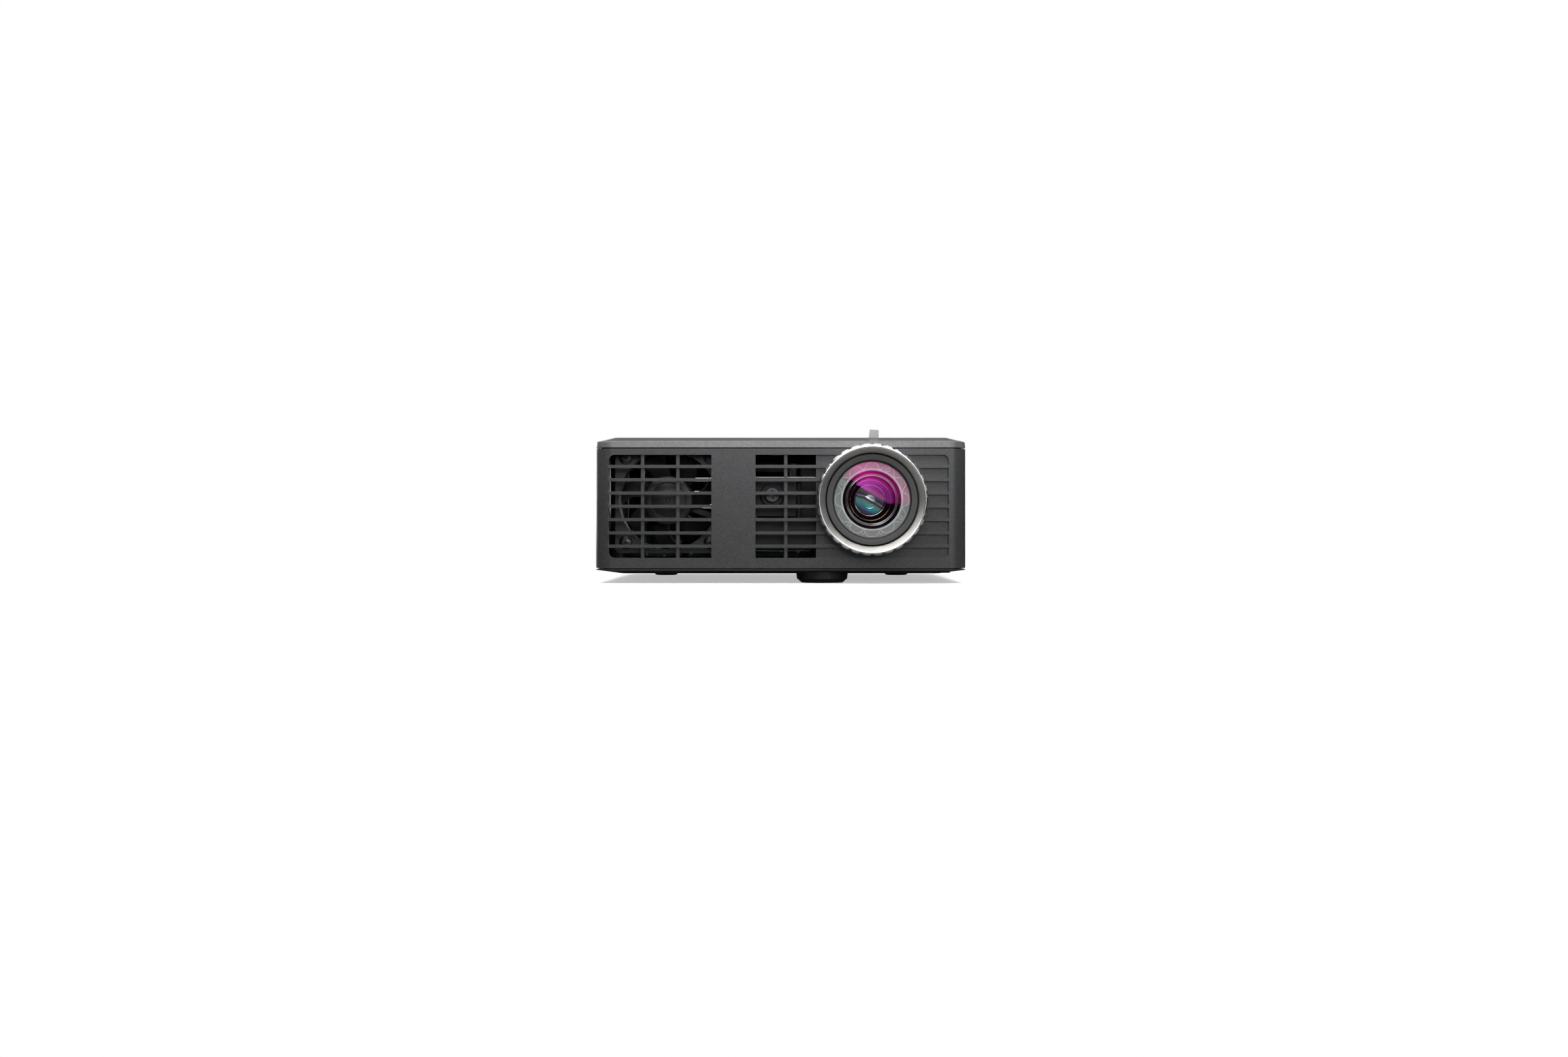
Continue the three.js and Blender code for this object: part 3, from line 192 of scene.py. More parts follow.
def table_top():
    bm = bmesh.new()
    bmesh.ops.create_circle(bm, cap_ends=True, segments=96, radius=6)
    mesh = bpy.data.meshes.new("table")
    bm.to_mesh(mesh)
    bm.free()
    table = bpy.data.objects.new("table", mesh)
    scene.collection.objects.link(table)
    material = bpy.data.materials.new("table")
    material.use_nodes = True
    tree = material.node_tree
    tree.nodes.clear()
    # Pale where the projector stands, white further off, and darker as a reflector than it looks.
    output = tree.nodes.new("ShaderNodeOutputMaterial")
    near = tree.nodes.new("ShaderNodeBsdfDiffuse")
    near.inputs["Color"].default_value = (0.9, 0.9, 0.9, 1)
    bounce = tree.nodes.new("ShaderNodeBsdfDiffuse")
    lift = tree.nodes.new("ShaderNodeEmission")
    lift.inputs["Strength"].default_value = 0.45
    lit = tree.nodes.new("ShaderNodeAddShader")
    far = tree.nodes.new("ShaderNodeEmission")
    place_in = tree.nodes.new("ShaderNodeTexCoord")
    reach = tree.nodes.new("ShaderNodeVectorMath")
    reach.operation = "LENGTH"
    fade = tree.nodes.new("ShaderNodeMapRange")
    fade.interpolation_type = "SMOOTHSTEP"
    fade.inputs["From Min"].default_value = 0.06
    fade.inputs["From Max"].default_value = 0.3
    seen = tree.nodes.new("ShaderNodeMixShader")
    pick = tree.nodes.new("ShaderNodeMixShader")
    path = tree.nodes.new("ShaderNodeLightPath")
    # Shiny faces mirror the table as pale close by and dark further out.
    mirrored = tree.nodes.new("ShaderNodeMapRange")
    for label, value in (("From Min", 0.085), ("From Max", 0.12), ("To Min", 0.25), ("To Max", 0.03)):
        mirrored.inputs[label].default_value = value
    tone = tree.nodes.new("ShaderNodeMix")
    tone.inputs["A"].default_value = 0.15
    tree.links.new(reach.outputs["Value"], mirrored.inputs["Value"])
    tree.links.new(path.outputs["Is Glossy Ray"], tone.inputs["Factor"])
    tree.links.new(mirrored.outputs["Result"], tone.inputs["B"])
    tree.links.new(tone.outputs["Result"], bounce.inputs["Color"])
    tree.links.new(place_in.outputs["Object"], reach.inputs[0])
    tree.links.new(reach.outputs["Value"], fade.inputs["Value"])
    tree.links.new(fade.outputs["Result"], seen.inputs[0])
    tree.links.new(near.outputs[0], lit.inputs[0])
    tree.links.new(lift.outputs[0], lit.inputs[1])
    tree.links.new(lit.outputs[0], seen.inputs[1])
    tree.links.new(far.outputs[0], seen.inputs[2])
    tree.links.new(path.outputs["Is Camera Ray"], pick.inputs[0])
    tree.links.new(bounce.outputs[0], pick.inputs[1])
    tree.links.new(seen.outputs[0], pick.inputs[2])
    tree.links.new(pick.outputs[0], output.inputs["Surface"])
    mesh.materials.append(material)


# ------------------------------------------------------------------ effects shared by the finishes


DARK, LIGHT = (0.1, 0.1, 0.1, 1), (0.3, 0.3, 0.3, 1)  # what a group shows until it is given its colours
DUST_COLOUR = (0.5, 0.49, 0.47, 1)


def effect(name, inputs, outputs):
    """An empty node group with its sockets, and its two end nodes."""
    tree = bpy.data.node_groups.new(name, "ShaderNodeTree")
    kinds = {"value": "NodeSocketFloat", "colour": "NodeSocketColor", "vector": "NodeSocketVector"}
    for label, kind, start in inputs:
        socket = tree.interface.new_socket(name=label, in_out="INPUT", socket_type=kinds[kind])
        if start is not None:
            socket.default_value = start
    for label, kind in outputs:
        tree.interface.new_socket(name=label, in_out="OUTPUT", socket_type=kinds[kind])
    return tree, tree.nodes.new("NodeGroupInput"), tree.nodes.new("NodeGroupOutput")


def add(tree, kind, links=None, **settings):
    """Adds a node; settings are its properties, links maps its inputs to a socket or a plain value."""
    node = tree.nodes.new(kind)
    for key, value in settings.items():
        setattr(node, key, value)
    for key, value in (links or {}).items():
        if isinstance(value, bpy.types.NodeSocket):
            tree.links.new(value, node.inputs[key])
        else:
            node.inputs[key].default_value = value
    return node


def noise(tree, vector, scale, detail=2.0, roughness=0.5):
    links = {"Vector": vector, "Scale": scale, "Detail": detail, "Roughness": roughness}
    return add(tree, "ShaderNodeTexNoise", links)


def remap(tree, value, low, high, to_low=0.0, to_high=1.0):
    links = {"Value": value, "From Min": low, "From Max": high, "To Min": to_low, "To Max": to_high}
    return add(tree, "ShaderNodeMapRange", links).outputs["Result"]


def colour_mix(tree, factor, first, second):
    links = {"Factor": factor, "A": first, "B": second}
    return add(tree, "ShaderNodeMix", links, data_type="RGBA").outputs["Result"]


def times(tree, first, second):
    return add(tree, "ShaderNodeMath", {0: first, 1: second}, operation="MULTIPLY").outputs[0]


def bump_from(tree, height, start):
    """A bump of this height, its Depth and Strength taken from the group's own inputs."""
    links = {"Height": height, "Distance": start.outputs["Depth"], "Strength": start.outputs["Strength"]}
    return add(tree, "ShaderNodeBump", links).outputs["Normal"]


def make_flake():
    """Fine metal flake under lacquer: each cell of a tiny mosaic is a little lighter or darker."""
    tree, start, end = effect(
        "metal_flake",
        [("Vector", "vector", None), ("Base", "colour", DARK), ("Flake", "colour", LIGHT),
         ("Scale", "value", 9000.0), ("Amount", "value", 0.5)],
        [("Colour", "colour"), ("Mask", "value")],
    )
    cells = add(tree, "ShaderNodeTexVoronoi", {"Vector": start.outputs["Vector"], "Scale": start.outputs["Scale"]})
    split = add(tree, "ShaderNodeSeparateColor", {"Color": cells.outputs["Color"]})
    mask = remap(tree, split.outputs["Red"], 0.45, 1.0)
    amount = times(tree, mask, start.outputs["Amount"])
    mix = colour_mix(tree, amount, start.outputs["Base"], start.outputs["Flake"])
    tree.links.new(mix, end.inputs["Colour"])
    tree.links.new(mask, end.inputs["Mask"])
    return tree


def make_grain():
    """Spark-eroded mould texture: a fine bump."""
    tree, start, end = effect(
        "mould_grain",
        [("Vector", "vector", None), ("Scale", "value", 3000.0), ("Depth", "value", 0.00001),
         ("Strength", "value", 0.4)],
        [("Normal", "vector"), ("Height", "value")],
    )
    fine = noise(tree, start.outputs["Vector"], start.outputs["Scale"], 3.0, 0.6)
    tree.links.new(bump_from(tree, fine.outputs["Fac"], start), end.inputs["Normal"])
    tree.links.new(fine.outputs["Fac"], end.inputs["Height"])
    return tree


def make_smudge():
    """Handling marks: slow changes of roughness."""
    tree, start, end = effect(
        "handling_marks",
        [("Vector", "vector", None), ("Scale", "value", 60.0), ("Dull", "value", 0.5), ("Shiny", "value", 0.35)],
        [("Roughness", "value"), ("Mask", "value")],
    )
    broad = noise(tree, start.outputs["Vector"], start.outputs["Scale"], 4.0, 0.6)
    mask = remap(tree, broad.outputs["Fac"], 0.3, 0.7)
    links = {"Factor": mask, "A": start.outputs["Shiny"], "B": start.outputs["Dull"]}
    rough = add(tree, "ShaderNodeMix", links, data_type="FLOAT")
    tree.links.new(rough.outputs["Result"], end.inputs["Roughness"])
    tree.links.new(mask, end.inputs["Mask"])
    return tree


def make_wear():
    """Rubbed edges: lighter on the faces that round off an edge, broken up by noise."""
    tree, start, end = effect(
        "edge_wear",
        [("Vector", "vector", None), ("Base", "colour", DARK), ("Worn", "colour", LIGHT), ("Amount", "value", 0.4)],
        [("Colour", "colour"), ("Mask", "value")],
    )
    rounded = add(tree, "ShaderNodeAttribute", attribute_name="edge")
    broken = noise(tree, start.outputs["Vector"], 700.0, 3.0, 0.6)
    patch = remap(tree, broken.outputs["Fac"], 0.3, 0.65)
    mask = times(tree, times(tree, rounded.outputs["Fac"], patch), start.outputs["Amount"])
    mix = colour_mix(tree, mask, start.outputs["Base"], start.outputs["Worn"])
    tree.links.new(mix, end.inputs["Colour"])
    tree.links.new(mask, end.inputs["Mask"])
    return tree


def make_dust():
    """Fine dust that settles on faces that look up, thicker in patches."""
    tree, start, end = effect(
        "settled_dust",
        [("Vector", "vector", None), ("Base", "colour", DARK), ("Amount", "value", 0.1)],
        [("Colour", "colour"), ("Mask", "value")],
    )
    shape = add(tree, "ShaderNodeNewGeometry")
    split = add(tree, "ShaderNodeSeparateXYZ", {"Vector": shape.outputs["Normal"]})
    upward = remap(tree, split.outputs["Z"], 0.3, 1.0)
    specks = noise(tree, start.outputs["Vector"], 2500.0, 2.0, 0.7)
    patch = remap(tree, specks.outputs["Fac"], 0.5, 0.75)
    mask = times(tree, times(tree, upward, patch), start.outputs["Amount"])
    mix = colour_mix(tree, mask, start.outputs["Base"], DUST_COLOUR)
    tree.links.new(mix, end.inputs["Colour"])
    tree.links.new(mask, end.inputs["Mask"])
    return tree


def make_turning():
    """Lathe lines: fine rings about the Y axis, as a bump."""
    tree, start, end = effect(
        "turned_lines",
        [("Vector", "vector", None), ("Lines", "value", 4000.0), ("Depth", "value", 0.000003),
         ("Strength", "value", 0.3)],
        [("Normal", "vector"), ("Mask", "value")],
    )
    flat = add(tree, "ShaderNodeVectorMath", {0: start.outputs["Vector"], 1: (1, 0, 1)}, operation="MULTIPLY")
    reach = add(tree, "ShaderNodeVectorMath", {0: flat.outputs["Vector"]}, operation="LENGTH")
    split = add(tree, "ShaderNodeSeparateXYZ", {"Vector": start.outputs["Vector"]})
    along = add(tree, "ShaderNodeMath", {0: reach.outputs["Value"], 1: split.outputs["Y"]}, operation="ADD")
    row = add(tree, "ShaderNodeCombineXYZ", {"X": times(tree, along.outputs[0], start.outputs["Lines"])})
    wave = noise(tree, row.outputs["Vector"], 1.0, 2.0, 0.6)
    tree.links.new(bump_from(tree, wave.outputs["Fac"], start), end.inputs["Normal"])
    tree.links.new(wave.outputs["Fac"], end.inputs["Mask"])
    return tree


EFFECTS = {
    "flake": make_flake(), "grain": make_grain(), "smudge": make_smudge(), "wear": make_wear(),
    "dust": make_dust(), "turning": make_turning(),
}


# ------------------------------------------------------------------ finishes


class Finish:
    """A material under construction: one Principled shader fed by the shared effects."""

    def __init__(self, name, centre=(0, 0, 0), **values):
        self.material = bpy.data.materials.new(name)
        self.material.use_nodes = True
        self.tree = self.material.node_tree
        self.shader = self.tree.nodes["Principled BSDF"]
        coordinates = add(self.tree, "ShaderNodeTexCoord")
        start = tuple(-c * MM for c in centre)
        mapping = add(self.tree, "ShaderNodeMapping", {"Vector": coordinates.outputs["Object"], "Location": start})
        self.place = mapping.outputs["Vector"]
        for label, value in values.items():
            self.shader.inputs[label.replace("_", " ")].default_value = value

    def use(self, effect_name, **inputs):
        node = self.tree.nodes.new("ShaderNodeGroup")
        node.node_tree = EFFECTS[effect_name]
        self.tree.links.new(self.place, node.inputs["Vector"])
        for label, value in inputs.items():
            if isinstance(value, bpy.types.NodeSocket):
                self.tree.links.new(value, node.inputs[label])
            else:
                node.inputs[label].default_value = value
        return node

    def feed(self, label, socket):
        self.tree.links.new(socket, self.shader.inputs[label])


COOL, WARM = (0.98, 0.99, 1.03), (1, 0.96, 0.98)


def grey(value, tint=(1, 1, 1)):
    return (value * tint[0], value * tint[1], value * tint[2], 1)


def case_paint(name="case_paint", base=0.045, flake_tone=0.15):
    """Dark grey with a fine metal flake under a satin lacquer."""
    paint = Finish(name, Metallic=0.15)
    flake = paint.use(
        "flake", Base=grey(base, COOL), Flake=grey(flake_tone, (0.97, 0.98, 1.03)),
        Scale=6500.0, Amount=0.36,
    )
    worn = paint.use("wear", Base=flake.outputs["Colour"], Worn=grey(0.16), Amount=0.5)
    dust = paint.use("dust", Base=worn.outputs["Colour"], Amount=0.12)
    smudge = paint.use("smudge", Scale=45.0, Dull=0.34, Shiny=0.29)
    grain = paint.use("grain", Scale=5200.0, Depth=0.000006, Strength=0.3)
    paint.feed("Base Color", dust.outputs["Colour"])
    paint.feed("Roughness", smudge.outputs["Roughness"])
    paint.feed("Normal", grain.outputs["Normal"])
    return paint.material


def moulded(name, colour, roughness=0.5, scale=3000.0, depth=0.00004, worn=2.2, centre=(0, 0, 0)):
    """Moulded plastic with a spark-eroded grain."""
    plastic = Finish(name, centre)
    lighter = tuple(min(1, c * worn + 0.01) for c in colour[:3]) + (1,)
    wear = plastic.use("wear", Base=colour, Worn=lighter, Amount=0.6)
    dust = plastic.use("dust", Base=wear.outputs["Colour"], Amount=0.1)
    smudge = plastic.use("smudge", Scale=120.0, Dull=min(1, roughness + 0.08), Shiny=roughness - 0.06)
    grain = plastic.use("grain", Scale=scale, Depth=depth, Strength=0.5)
    plastic.feed("Base Color", dust.outputs["Colour"])
    plastic.feed("Roughness", smudge.outputs["Roughness"])
    plastic.feed("Normal", grain.outputs["Normal"])
    return plastic.material


def metal(name, colour, roughness=0.35, lines=0.0, scale=4000.0, centre=(0, 0, 0), depth=0.00001):
    """Bare or plated metal, with lathe lines where lines is above 0."""
    bare = Finish(name, centre, Metallic=1.0)
    lighter = tuple(min(1, c * 1.25) for c in colour[:3]) + (1,)
    wear = bare.use("wear", Base=colour, Worn=lighter, Amount=0.5)
    smudge = bare.use("smudge", Scale=150.0, Dull=roughness + 0.08, Shiny=roughness - 0.05)
    if lines:
        surface = bare.use("turning", Lines=lines, Depth=0.000004, Strength=0.5)
    else:
        surface = bare.use("grain", Scale=scale, Depth=depth, Strength=0.35)
    bare.feed("Base Color", wear.outputs["Colour"])
    bare.feed("Roughness", smudge.outputs["Roughness"])
    bare.feed("Normal", surface.outputs["Normal"])
    return bare.material


def coated_glass(name, tint=(1, 1, 1, 1), coating=(1, 1, 1, 1), strength=0.5, ior=1.5):
    """Polished optical glass whose coating tints what it mirrors, with faint wipe marks."""
    glass = Finish(name, Metallic=0.0, Transmission_Weight=1.0, IOR=ior)
    glass.shader.inputs["Specular Tint"].default_value = coating
    glass.shader.inputs["Specular IOR Level"].default_value = strength
    glass.shader.inputs["Base Color"].default_value = tint
    smudge = glass.use("smudge", Scale=220.0, Dull=0.03, Shiny=0.0)
    glass.feed("Roughness", smudge.outputs["Roughness"])
    return glass.material


def rear_painted_reflection():
    """The small inner lens, with a painted reflection and a painted glow: its colour turns from rose at the top
    through violet to teal and blue below, standing in for what the lens mirrors, and it gives off faint light though
    it is no lamp.
    """
    glass = Finish("rear_painted_reflection", centre=LENS, Metallic=0.8)
    split = add(glass.tree, "ShaderNodeSeparateXYZ", {"Vector": glass.place})
    wobble = noise(glass.tree, glass.place, 300.0, 2.0, 0.5)
    sway = times(glass.tree, wobble.outputs["Fac"], 0.0012)
    tilted = {0: split.outputs["X"], 1: 0.55, 2: split.outputs["Z"]}
    lean = add(glass.tree, "ShaderNodeMath", tilted, operation="MULTIPLY_ADD")
    level = add(glass.tree, "ShaderNodeMath", {0: lean.outputs[0], 1: sway}, operation="ADD")
    height = remap(glass.tree, level.outputs[0], -0.003, 0.0042)
    # Painted reflection: these bands, with their dark diagonal streak, stand in for the room mirrored in the lens, on
    # top of the glass's own mirroring.
    ramp = add(glass.tree, "ShaderNodeValToRGB", {"Fac": height})
    bands = (
        (0.0, (0.12, 0.1, 0.14)), (0.12, (0.12, 0.3, 0.5)), (0.24, (0.16, 0.45, 0.55)), (0.38, (0.25, 0.45, 0.38)),
        (0.46, (0.06, 0.05, 0.06)), (0.54, (0.42, 0.36, 0.52)), (0.6, (0.08, 0.05, 0.08)), (0.72, (0.2, 0.17, 0.22)),
        (0.86, (0.5, 0.14, 0.24)), (1.0, (0.12, 0.02, 0.06)),
    )
    stops = ramp.color_ramp.elements
    while len(stops) < len(bands):
        stops.new(0.5)
    for stop, (spot, colour) in zip(stops, bands):
        stop.position = spot
        stop.color = (*colour, 1)
    glass.feed("Base Color", ramp.outputs["Color"])
    # Painted glow: the lens gives off faint light in these colours, though it is no lamp.
    glass.feed("Emission Color", ramp.outputs["Color"])
    glass.shader.inputs["Emission Strength"].default_value = 0.3
    smudge = glass.use("smudge", Scale=400.0, Dull=0.16, Shiny=0.08)
    glass.feed("Roughness", smudge.outputs["Roughness"])
    return glass.material


TINNED = (0.45, 0.42, 0.36, 1)


def circuit():
    """Solder mask over copper tracks and small pads."""
    board = Finish("solder_mask")
    links = {
        "Vector": board.place, "Scale": 260.0, "Mortar Size": 0.012, "Color1": (0.006, 0.06, 0.025, 1),
        "Color2": (0.004, 0.05, 0.02, 1), "Mortar": (0.012, 0.11, 0.045, 1),
    }
    bricks = add(board.tree, "ShaderNodeTexBrick", links)
    pads = add(board.tree, "ShaderNodeTexVoronoi", {"Vector": board.place, "Scale": 420.0})
    spot = remap(board.tree, pads.outputs["Distance"], 0.16, 0.2, 1.0, 0.0)
    colour = colour_mix(board.tree, spot, bricks.outputs["Color"], TINNED)
    smudge = board.use("smudge", Scale=200.0, Dull=0.45, Shiny=0.3)
    bump = add(board.tree, "ShaderNodeBump", {"Height": bricks.outputs["Fac"], "Distance": 0.00002, "Strength": 0.5})
    board.feed("Base Color", colour)
    board.feed("Metallic", spot)
    board.feed("Roughness", smudge.outputs["Roughness"])
    board.feed("Normal", bump.outputs["Normal"])
    return board.material


LENS = (LENS_X, FRONT, LENS_Z)
CASE = case_paint()
# Painted highlight: a lighter copy of the case paint for the lid's side band, standing in for the light that band
# catches.
LID_SIDE_HIGHLIGHT = case_paint("lid_edge_paint", 0.1, 0.3)
BASE = moulded("base_plastic", grey(0.029), 0.5, 3500.0)
PANEL = moulded("key_panel_gloss", grey(0.012), 0.22, 6000.0, 0.000004)
KEYCAP = moulded("key_rubber", grey(0.045), 0.42, 4000.0)
PRINT = moulded("pale_print", grey(0.5), 0.5, 6000.0, 0.000004)
BLACK = moulded("black_plastic", grey(0.011), 0.45, 2500.0)
FAN = moulded("fan_plastic", grey(0.016), 0.42, 2500.0)
BARREL = moulded("barrel_plastic", grey(0.055), 0.55, 5000.0, 0.00002, centre=LENS)
LEVER = moulded("lever_plastic", grey(0.27), 0.45, 4000.0, 0.00002)
FOOT = moulded("foot_plastic", grey(0.017), 0.5, 3000.0)
RUBBER = moulded("foot_rubber", grey(0.014), 0.8, 1500.0, 0.00006)
SATIN = metal("satin_silver", (0.62, 0.61, 0.585, 1), 0.42, scale=5000.0, centre=LENS, depth=0.00003)
BRIGHT = metal("polished_edge", (0.9, 0.9, 0.91, 1), 0.18, scale=3000.0, centre=LENS)
STEEL = metal("pressed_steel", (0.5, 0.5, 0.51, 1), 0.33)
SCREW = metal("blackened_screw", (0.09, 0.09, 0.095, 1), 0.35)
BRASS = metal("turned_brass", (0.66, 0.47, 0.2, 1), 0.3)
GOLD = metal("gold_contact", (0.83, 0.61, 0.25, 1), 0.22)
ALUMINIUM = metal("extruded_aluminium", (0.6, 0.6, 0.61, 1), 0.38)
DIE_CAST = metal("die_cast_alloy", (0.055, 0.055, 0.058, 1), 0.55, scale=1800.0, depth=0.00004)
BOARD = circuit()
BAFFLE = moulded("baffle_black", grey(0.005), 0.75, 2500.0)
BAFFLE.node_tree.nodes["Principled BSDF"].inputs["Specular IOR Level"].default_value = 0.12
BEAD = moulded("bead_white", grey(0.85, WARM), 0.3, 5000.0, 0.00001, centre=LENS)
SEAT = moulded("seat_plastic", grey(0.42, (1, 0.94, 0.97)), 0.4, 5000.0, 0.00001, centre=LENS)
ANODISED = metal("black_anodised", (0.03, 0.03, 0.032, 1), 0.4)
CLEAR = coated_glass("clear_glass")
FRONT_GLASS = coated_glass("front_coating", coating=(1.0, 0.02, 0.45, 1), strength=0.42)
MIDDLE_GLASS = coated_glass("middle_coating", coating=(0.6, 0.1, 0.7, 1), strength=0.012)
REAR_GLASS = rear_painted_reflection()


# ------------------------------------------------------------------ making pieces


def lathe(profile, steps=96, closed=True):
    """A new bmesh: (radius, depth) points spun about the Y axis, as a ring when closed, else from axis to axis."""
    bm = bmesh.new()
    points = [bm.verts.new((r, y, 0)) for r, y in profile]
    edges = [bm.edges.new(pair) for pair in zip(points, points[1:])]
    if closed:
        edges.append(bm.edges.new((points[-1], points[0])))
    bmesh.ops.spin(
        bm, geom=points + edges, cent=(0, 0, 0), axis=(0, 1, 0), dvec=(0, 0, 0),
        angle=math.tau, steps=steps, use_merge=True, use_duplicate=False,
    )
    tidy(bm)
    return bm


def tidy(bm, weld=0.0005):
    bmesh.ops.remove_doubles(bm, verts=bm.verts, dist=weld)
    bmesh.ops.dissolve_degenerate(bm, edges=bm.edges, dist=weld)
    bmesh.ops.recalc_face_normals(bm, faces=bm.faces)


def round_edges(bm, edges, width, segments=2):
    """Rounds these edges and marks the new faces, where wear shows."""
    made = bmesh.ops.bevel(
        bm, geom=edges, offset=width, offset_type="OFFSET", segments=segments, profile=0.5,
        affect="EDGES", clamp_overlap=True, material=-1, loop_slide=True,
    )
    layer = bm.faces.layers.float["edge"]
    for face in made["faces"]:
        face[layer] = 1.0


def soften(bm, width, segments=2, over=28):
    """Rounds every edge that turns by more than over degrees."""
    sharp = [e for e in bm.edges if len(e.link_faces) == 2 and e.calc_face_angle(0) > math.radians(over)]
    round_edges(bm, sharp, width, segments)


def round_wire(radius, depth, thick, sides):
    """The profile of a wire of that thickness, bent into a ring of that radius."""
    around = [math.tau * i / sides for i in range(sides)]
    return [(radius + thick * math.cos(a), depth + thick * math.sin(a)) for a in around]


def stand_up(bm):
    """Turns a piece lathed about Y so that its axis is Z and its depth runs upwards."""
    bmesh.ops.rotate(bm, verts=bm.verts, cent=(0, 0, 0), matrix=Matrix.Rotation(math.radians(90), 3, "X"))


def place(bm, x, y, z):
    bmesh.ops.translate(bm, verts=bm.verts, vec=(x, y, z))
    return bm


def bar(bm, size, centre, width=0.0, segments=2):
    """Adds a box of that size to bm, its edges rounded by width."""
    spot = Matrix.Translation(centre) @ Matrix.Diagonal((*size, 1))
    made = bmesh.ops.create_cube(bm, size=1, matrix=spot)["verts"]
    if width:
        edges = {e for v in made for e in v.link_edges}
        bmesh.ops.bevel(
            bm, geom=list(edges), offset=width, offset_type="OFFSET", segments=segments, profile=0.5,
            affect="EDGES", clamp_overlap=True, material=-1,
        )


def join(bm, other):
    """Adds a copy of another bmesh to bm and frees it."""
    mesh = bpy.data.meshes.new("joining")
    other.to_mesh(mesh)
    other.free()
    bm.from_mesh(mesh)
    bpy.data.meshes.remove(mesh)


def keep(bm, name, finish, body, replaced=(), crease=35, extra=()):
    """Stores a mesh made in millimetres as a piece that rides on a body."""
    bmesh.ops.scale(bm, vec=(MM, MM, MM), verts=bm.verts)
    mesh = bpy.data.meshes.new(name)
    bm.to_mesh(mesh)
    bm.free()
    for polygon in mesh.polygons:
        polygon.use_smooth = True
    mesh.set_sharp_from_angle(angle=math.radians(crease))
    for material in (finish, *extra):
        mesh.materials.append(material)
    piece = bpy.data.objects.new(name, mesh)
    scene.collection.objects.link(piece)
    if "edge" in mesh.attributes:
        # Broad faces keep their flat shading up to a rounded edge.
        flat = piece.modifiers.new("broad_faces_flat", "WEIGHTED_NORMAL")
        flat.keep_sharp = True
        flat.weight = 100
    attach(piece, body)
    if replaced:
        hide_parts(*replaced)


def copy_of(node):
    """A CAD node's mesh as one welded bmesh in millimetres, its flat faces joined up."""
    bm = bmesh.new()
    bm.from_mesh(nodes[node].data)
    bm.faces.layers.float.new("edge")
    bmesh.ops.scale(bm, vec=(1 / MM, 1 / MM, 1 / MM), verts=bm.verts)
    bmesh.ops.remove_doubles(bm, verts=bm.verts, dist=0.002)
    bmesh.ops.dissolve_limit(
        bm, angle_limit=math.radians(0.6), verts=bm.verts, edges=bm.edges, use_dissolve_boundaries=False,
    )
    return bm


def dress(node, name, finish, width, segments=2, over=28, paint=None, extra=()):
    """A CAD node with its sharp edges rounded; paint(face) may give a face another finish."""
    bm = copy_of(node)
    soften(bm, width, segments, over)
    if paint:
        for face in bm.faces:
            face.material_index = paint(face)
    keep(bm, name, finish, nodes[node]["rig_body"], (node,), extra=extra)


def paint_node(node, finish):
    """Gives a CAD node that keeps its own shape a finish."""
    data = nodes[node].data
    data.materials.clear()
    data.materials.append(finish)


def middle(node):
    low, high = in_mm(node)
    return (low + high) / 2


# ------------------------------------------------------------------ the case


LID_RISE = 1.24  # height of the shallow bevel round the lid's top
LID_BAND = 4.5  # the lid's visible side, which gets the painted highlight, lies within this of its top
RECESS = 0.3  # depth of the key panel
CASE_EDGE = 0.14


def dress_case():
    dress("housing", "case_walls", CASE, CASE_EDGE)
    bm = copy_of("top_cover")
    level = LID_TOP - LID_RISE
    shoulder = [
        e for e in bm.edges if all(abs(v.co.z - level) < 0.05 for v in e.verts) and e.calc_face_angle(0) > 0.5
    ]
    round_edges(bm, shoulder, 0.5, 4)
    soften(bm, CASE_EDGE)
    # The top faces at the key panel's depth take the gloss panel; the lid's side band takes the lighter paint, a
    # painted highlight for the light it catches.
    for face in bm.faces:
        level = face.calc_center_median().z
        if face.normal.z > 0.9 and abs(level - (LID_TOP - RECESS)) < 0.04:
            face.material_index = 1
        elif abs(face.normal.z) < 0.75 and level > LID_TOP - LID_BAND:
            face.material_index = 2
    keep(bm, "case_lid", CASE, "case", ("top_cover",), extra=(PANEL, LID_SIDE_HIGHLIGHT))
    dress("base_cover", "case_base", BASE, CASE_EDGE)
    dress("rear_panel", "socket_panel", BASE, 0.12)


# ------------------------------------------------------------------ the lens, from the ring inwards

NOTCHES = 30
NOTCH_DEPTH = 0.28
NOTCH_HALF_ANGLE = 2.6  # degrees
NOTCH_FOOT = 15.05  # the radius where the notches begin
NOTCH_SLOPE = 0.35
CUP_SAG = 0.55


def at_lens(profile, name, finish, body, replaced=(), steps=120, closed=True, crease=35):
    """A piece turned about the lens axis; depths run back from the case's front."""
    bm = place(lathe(profile, steps, closed), LENS_X, FRONT, LENS_Z)
    keep(bm, name, finish, body, replaced, crease)


def dome(radius, curve, depth, parts, back=False):
    """Half the outline of a lens face, from its middle to its rim, or from its rim to its middle for the back."""
    steps = [i / parts for i in range(parts + 1)]
    if back:
        steps = [1 - step for step in steps]
    return [(radius * s, depth + curve - math.sqrt(curve**2 - (radius * s) ** 2)) for s in steps]


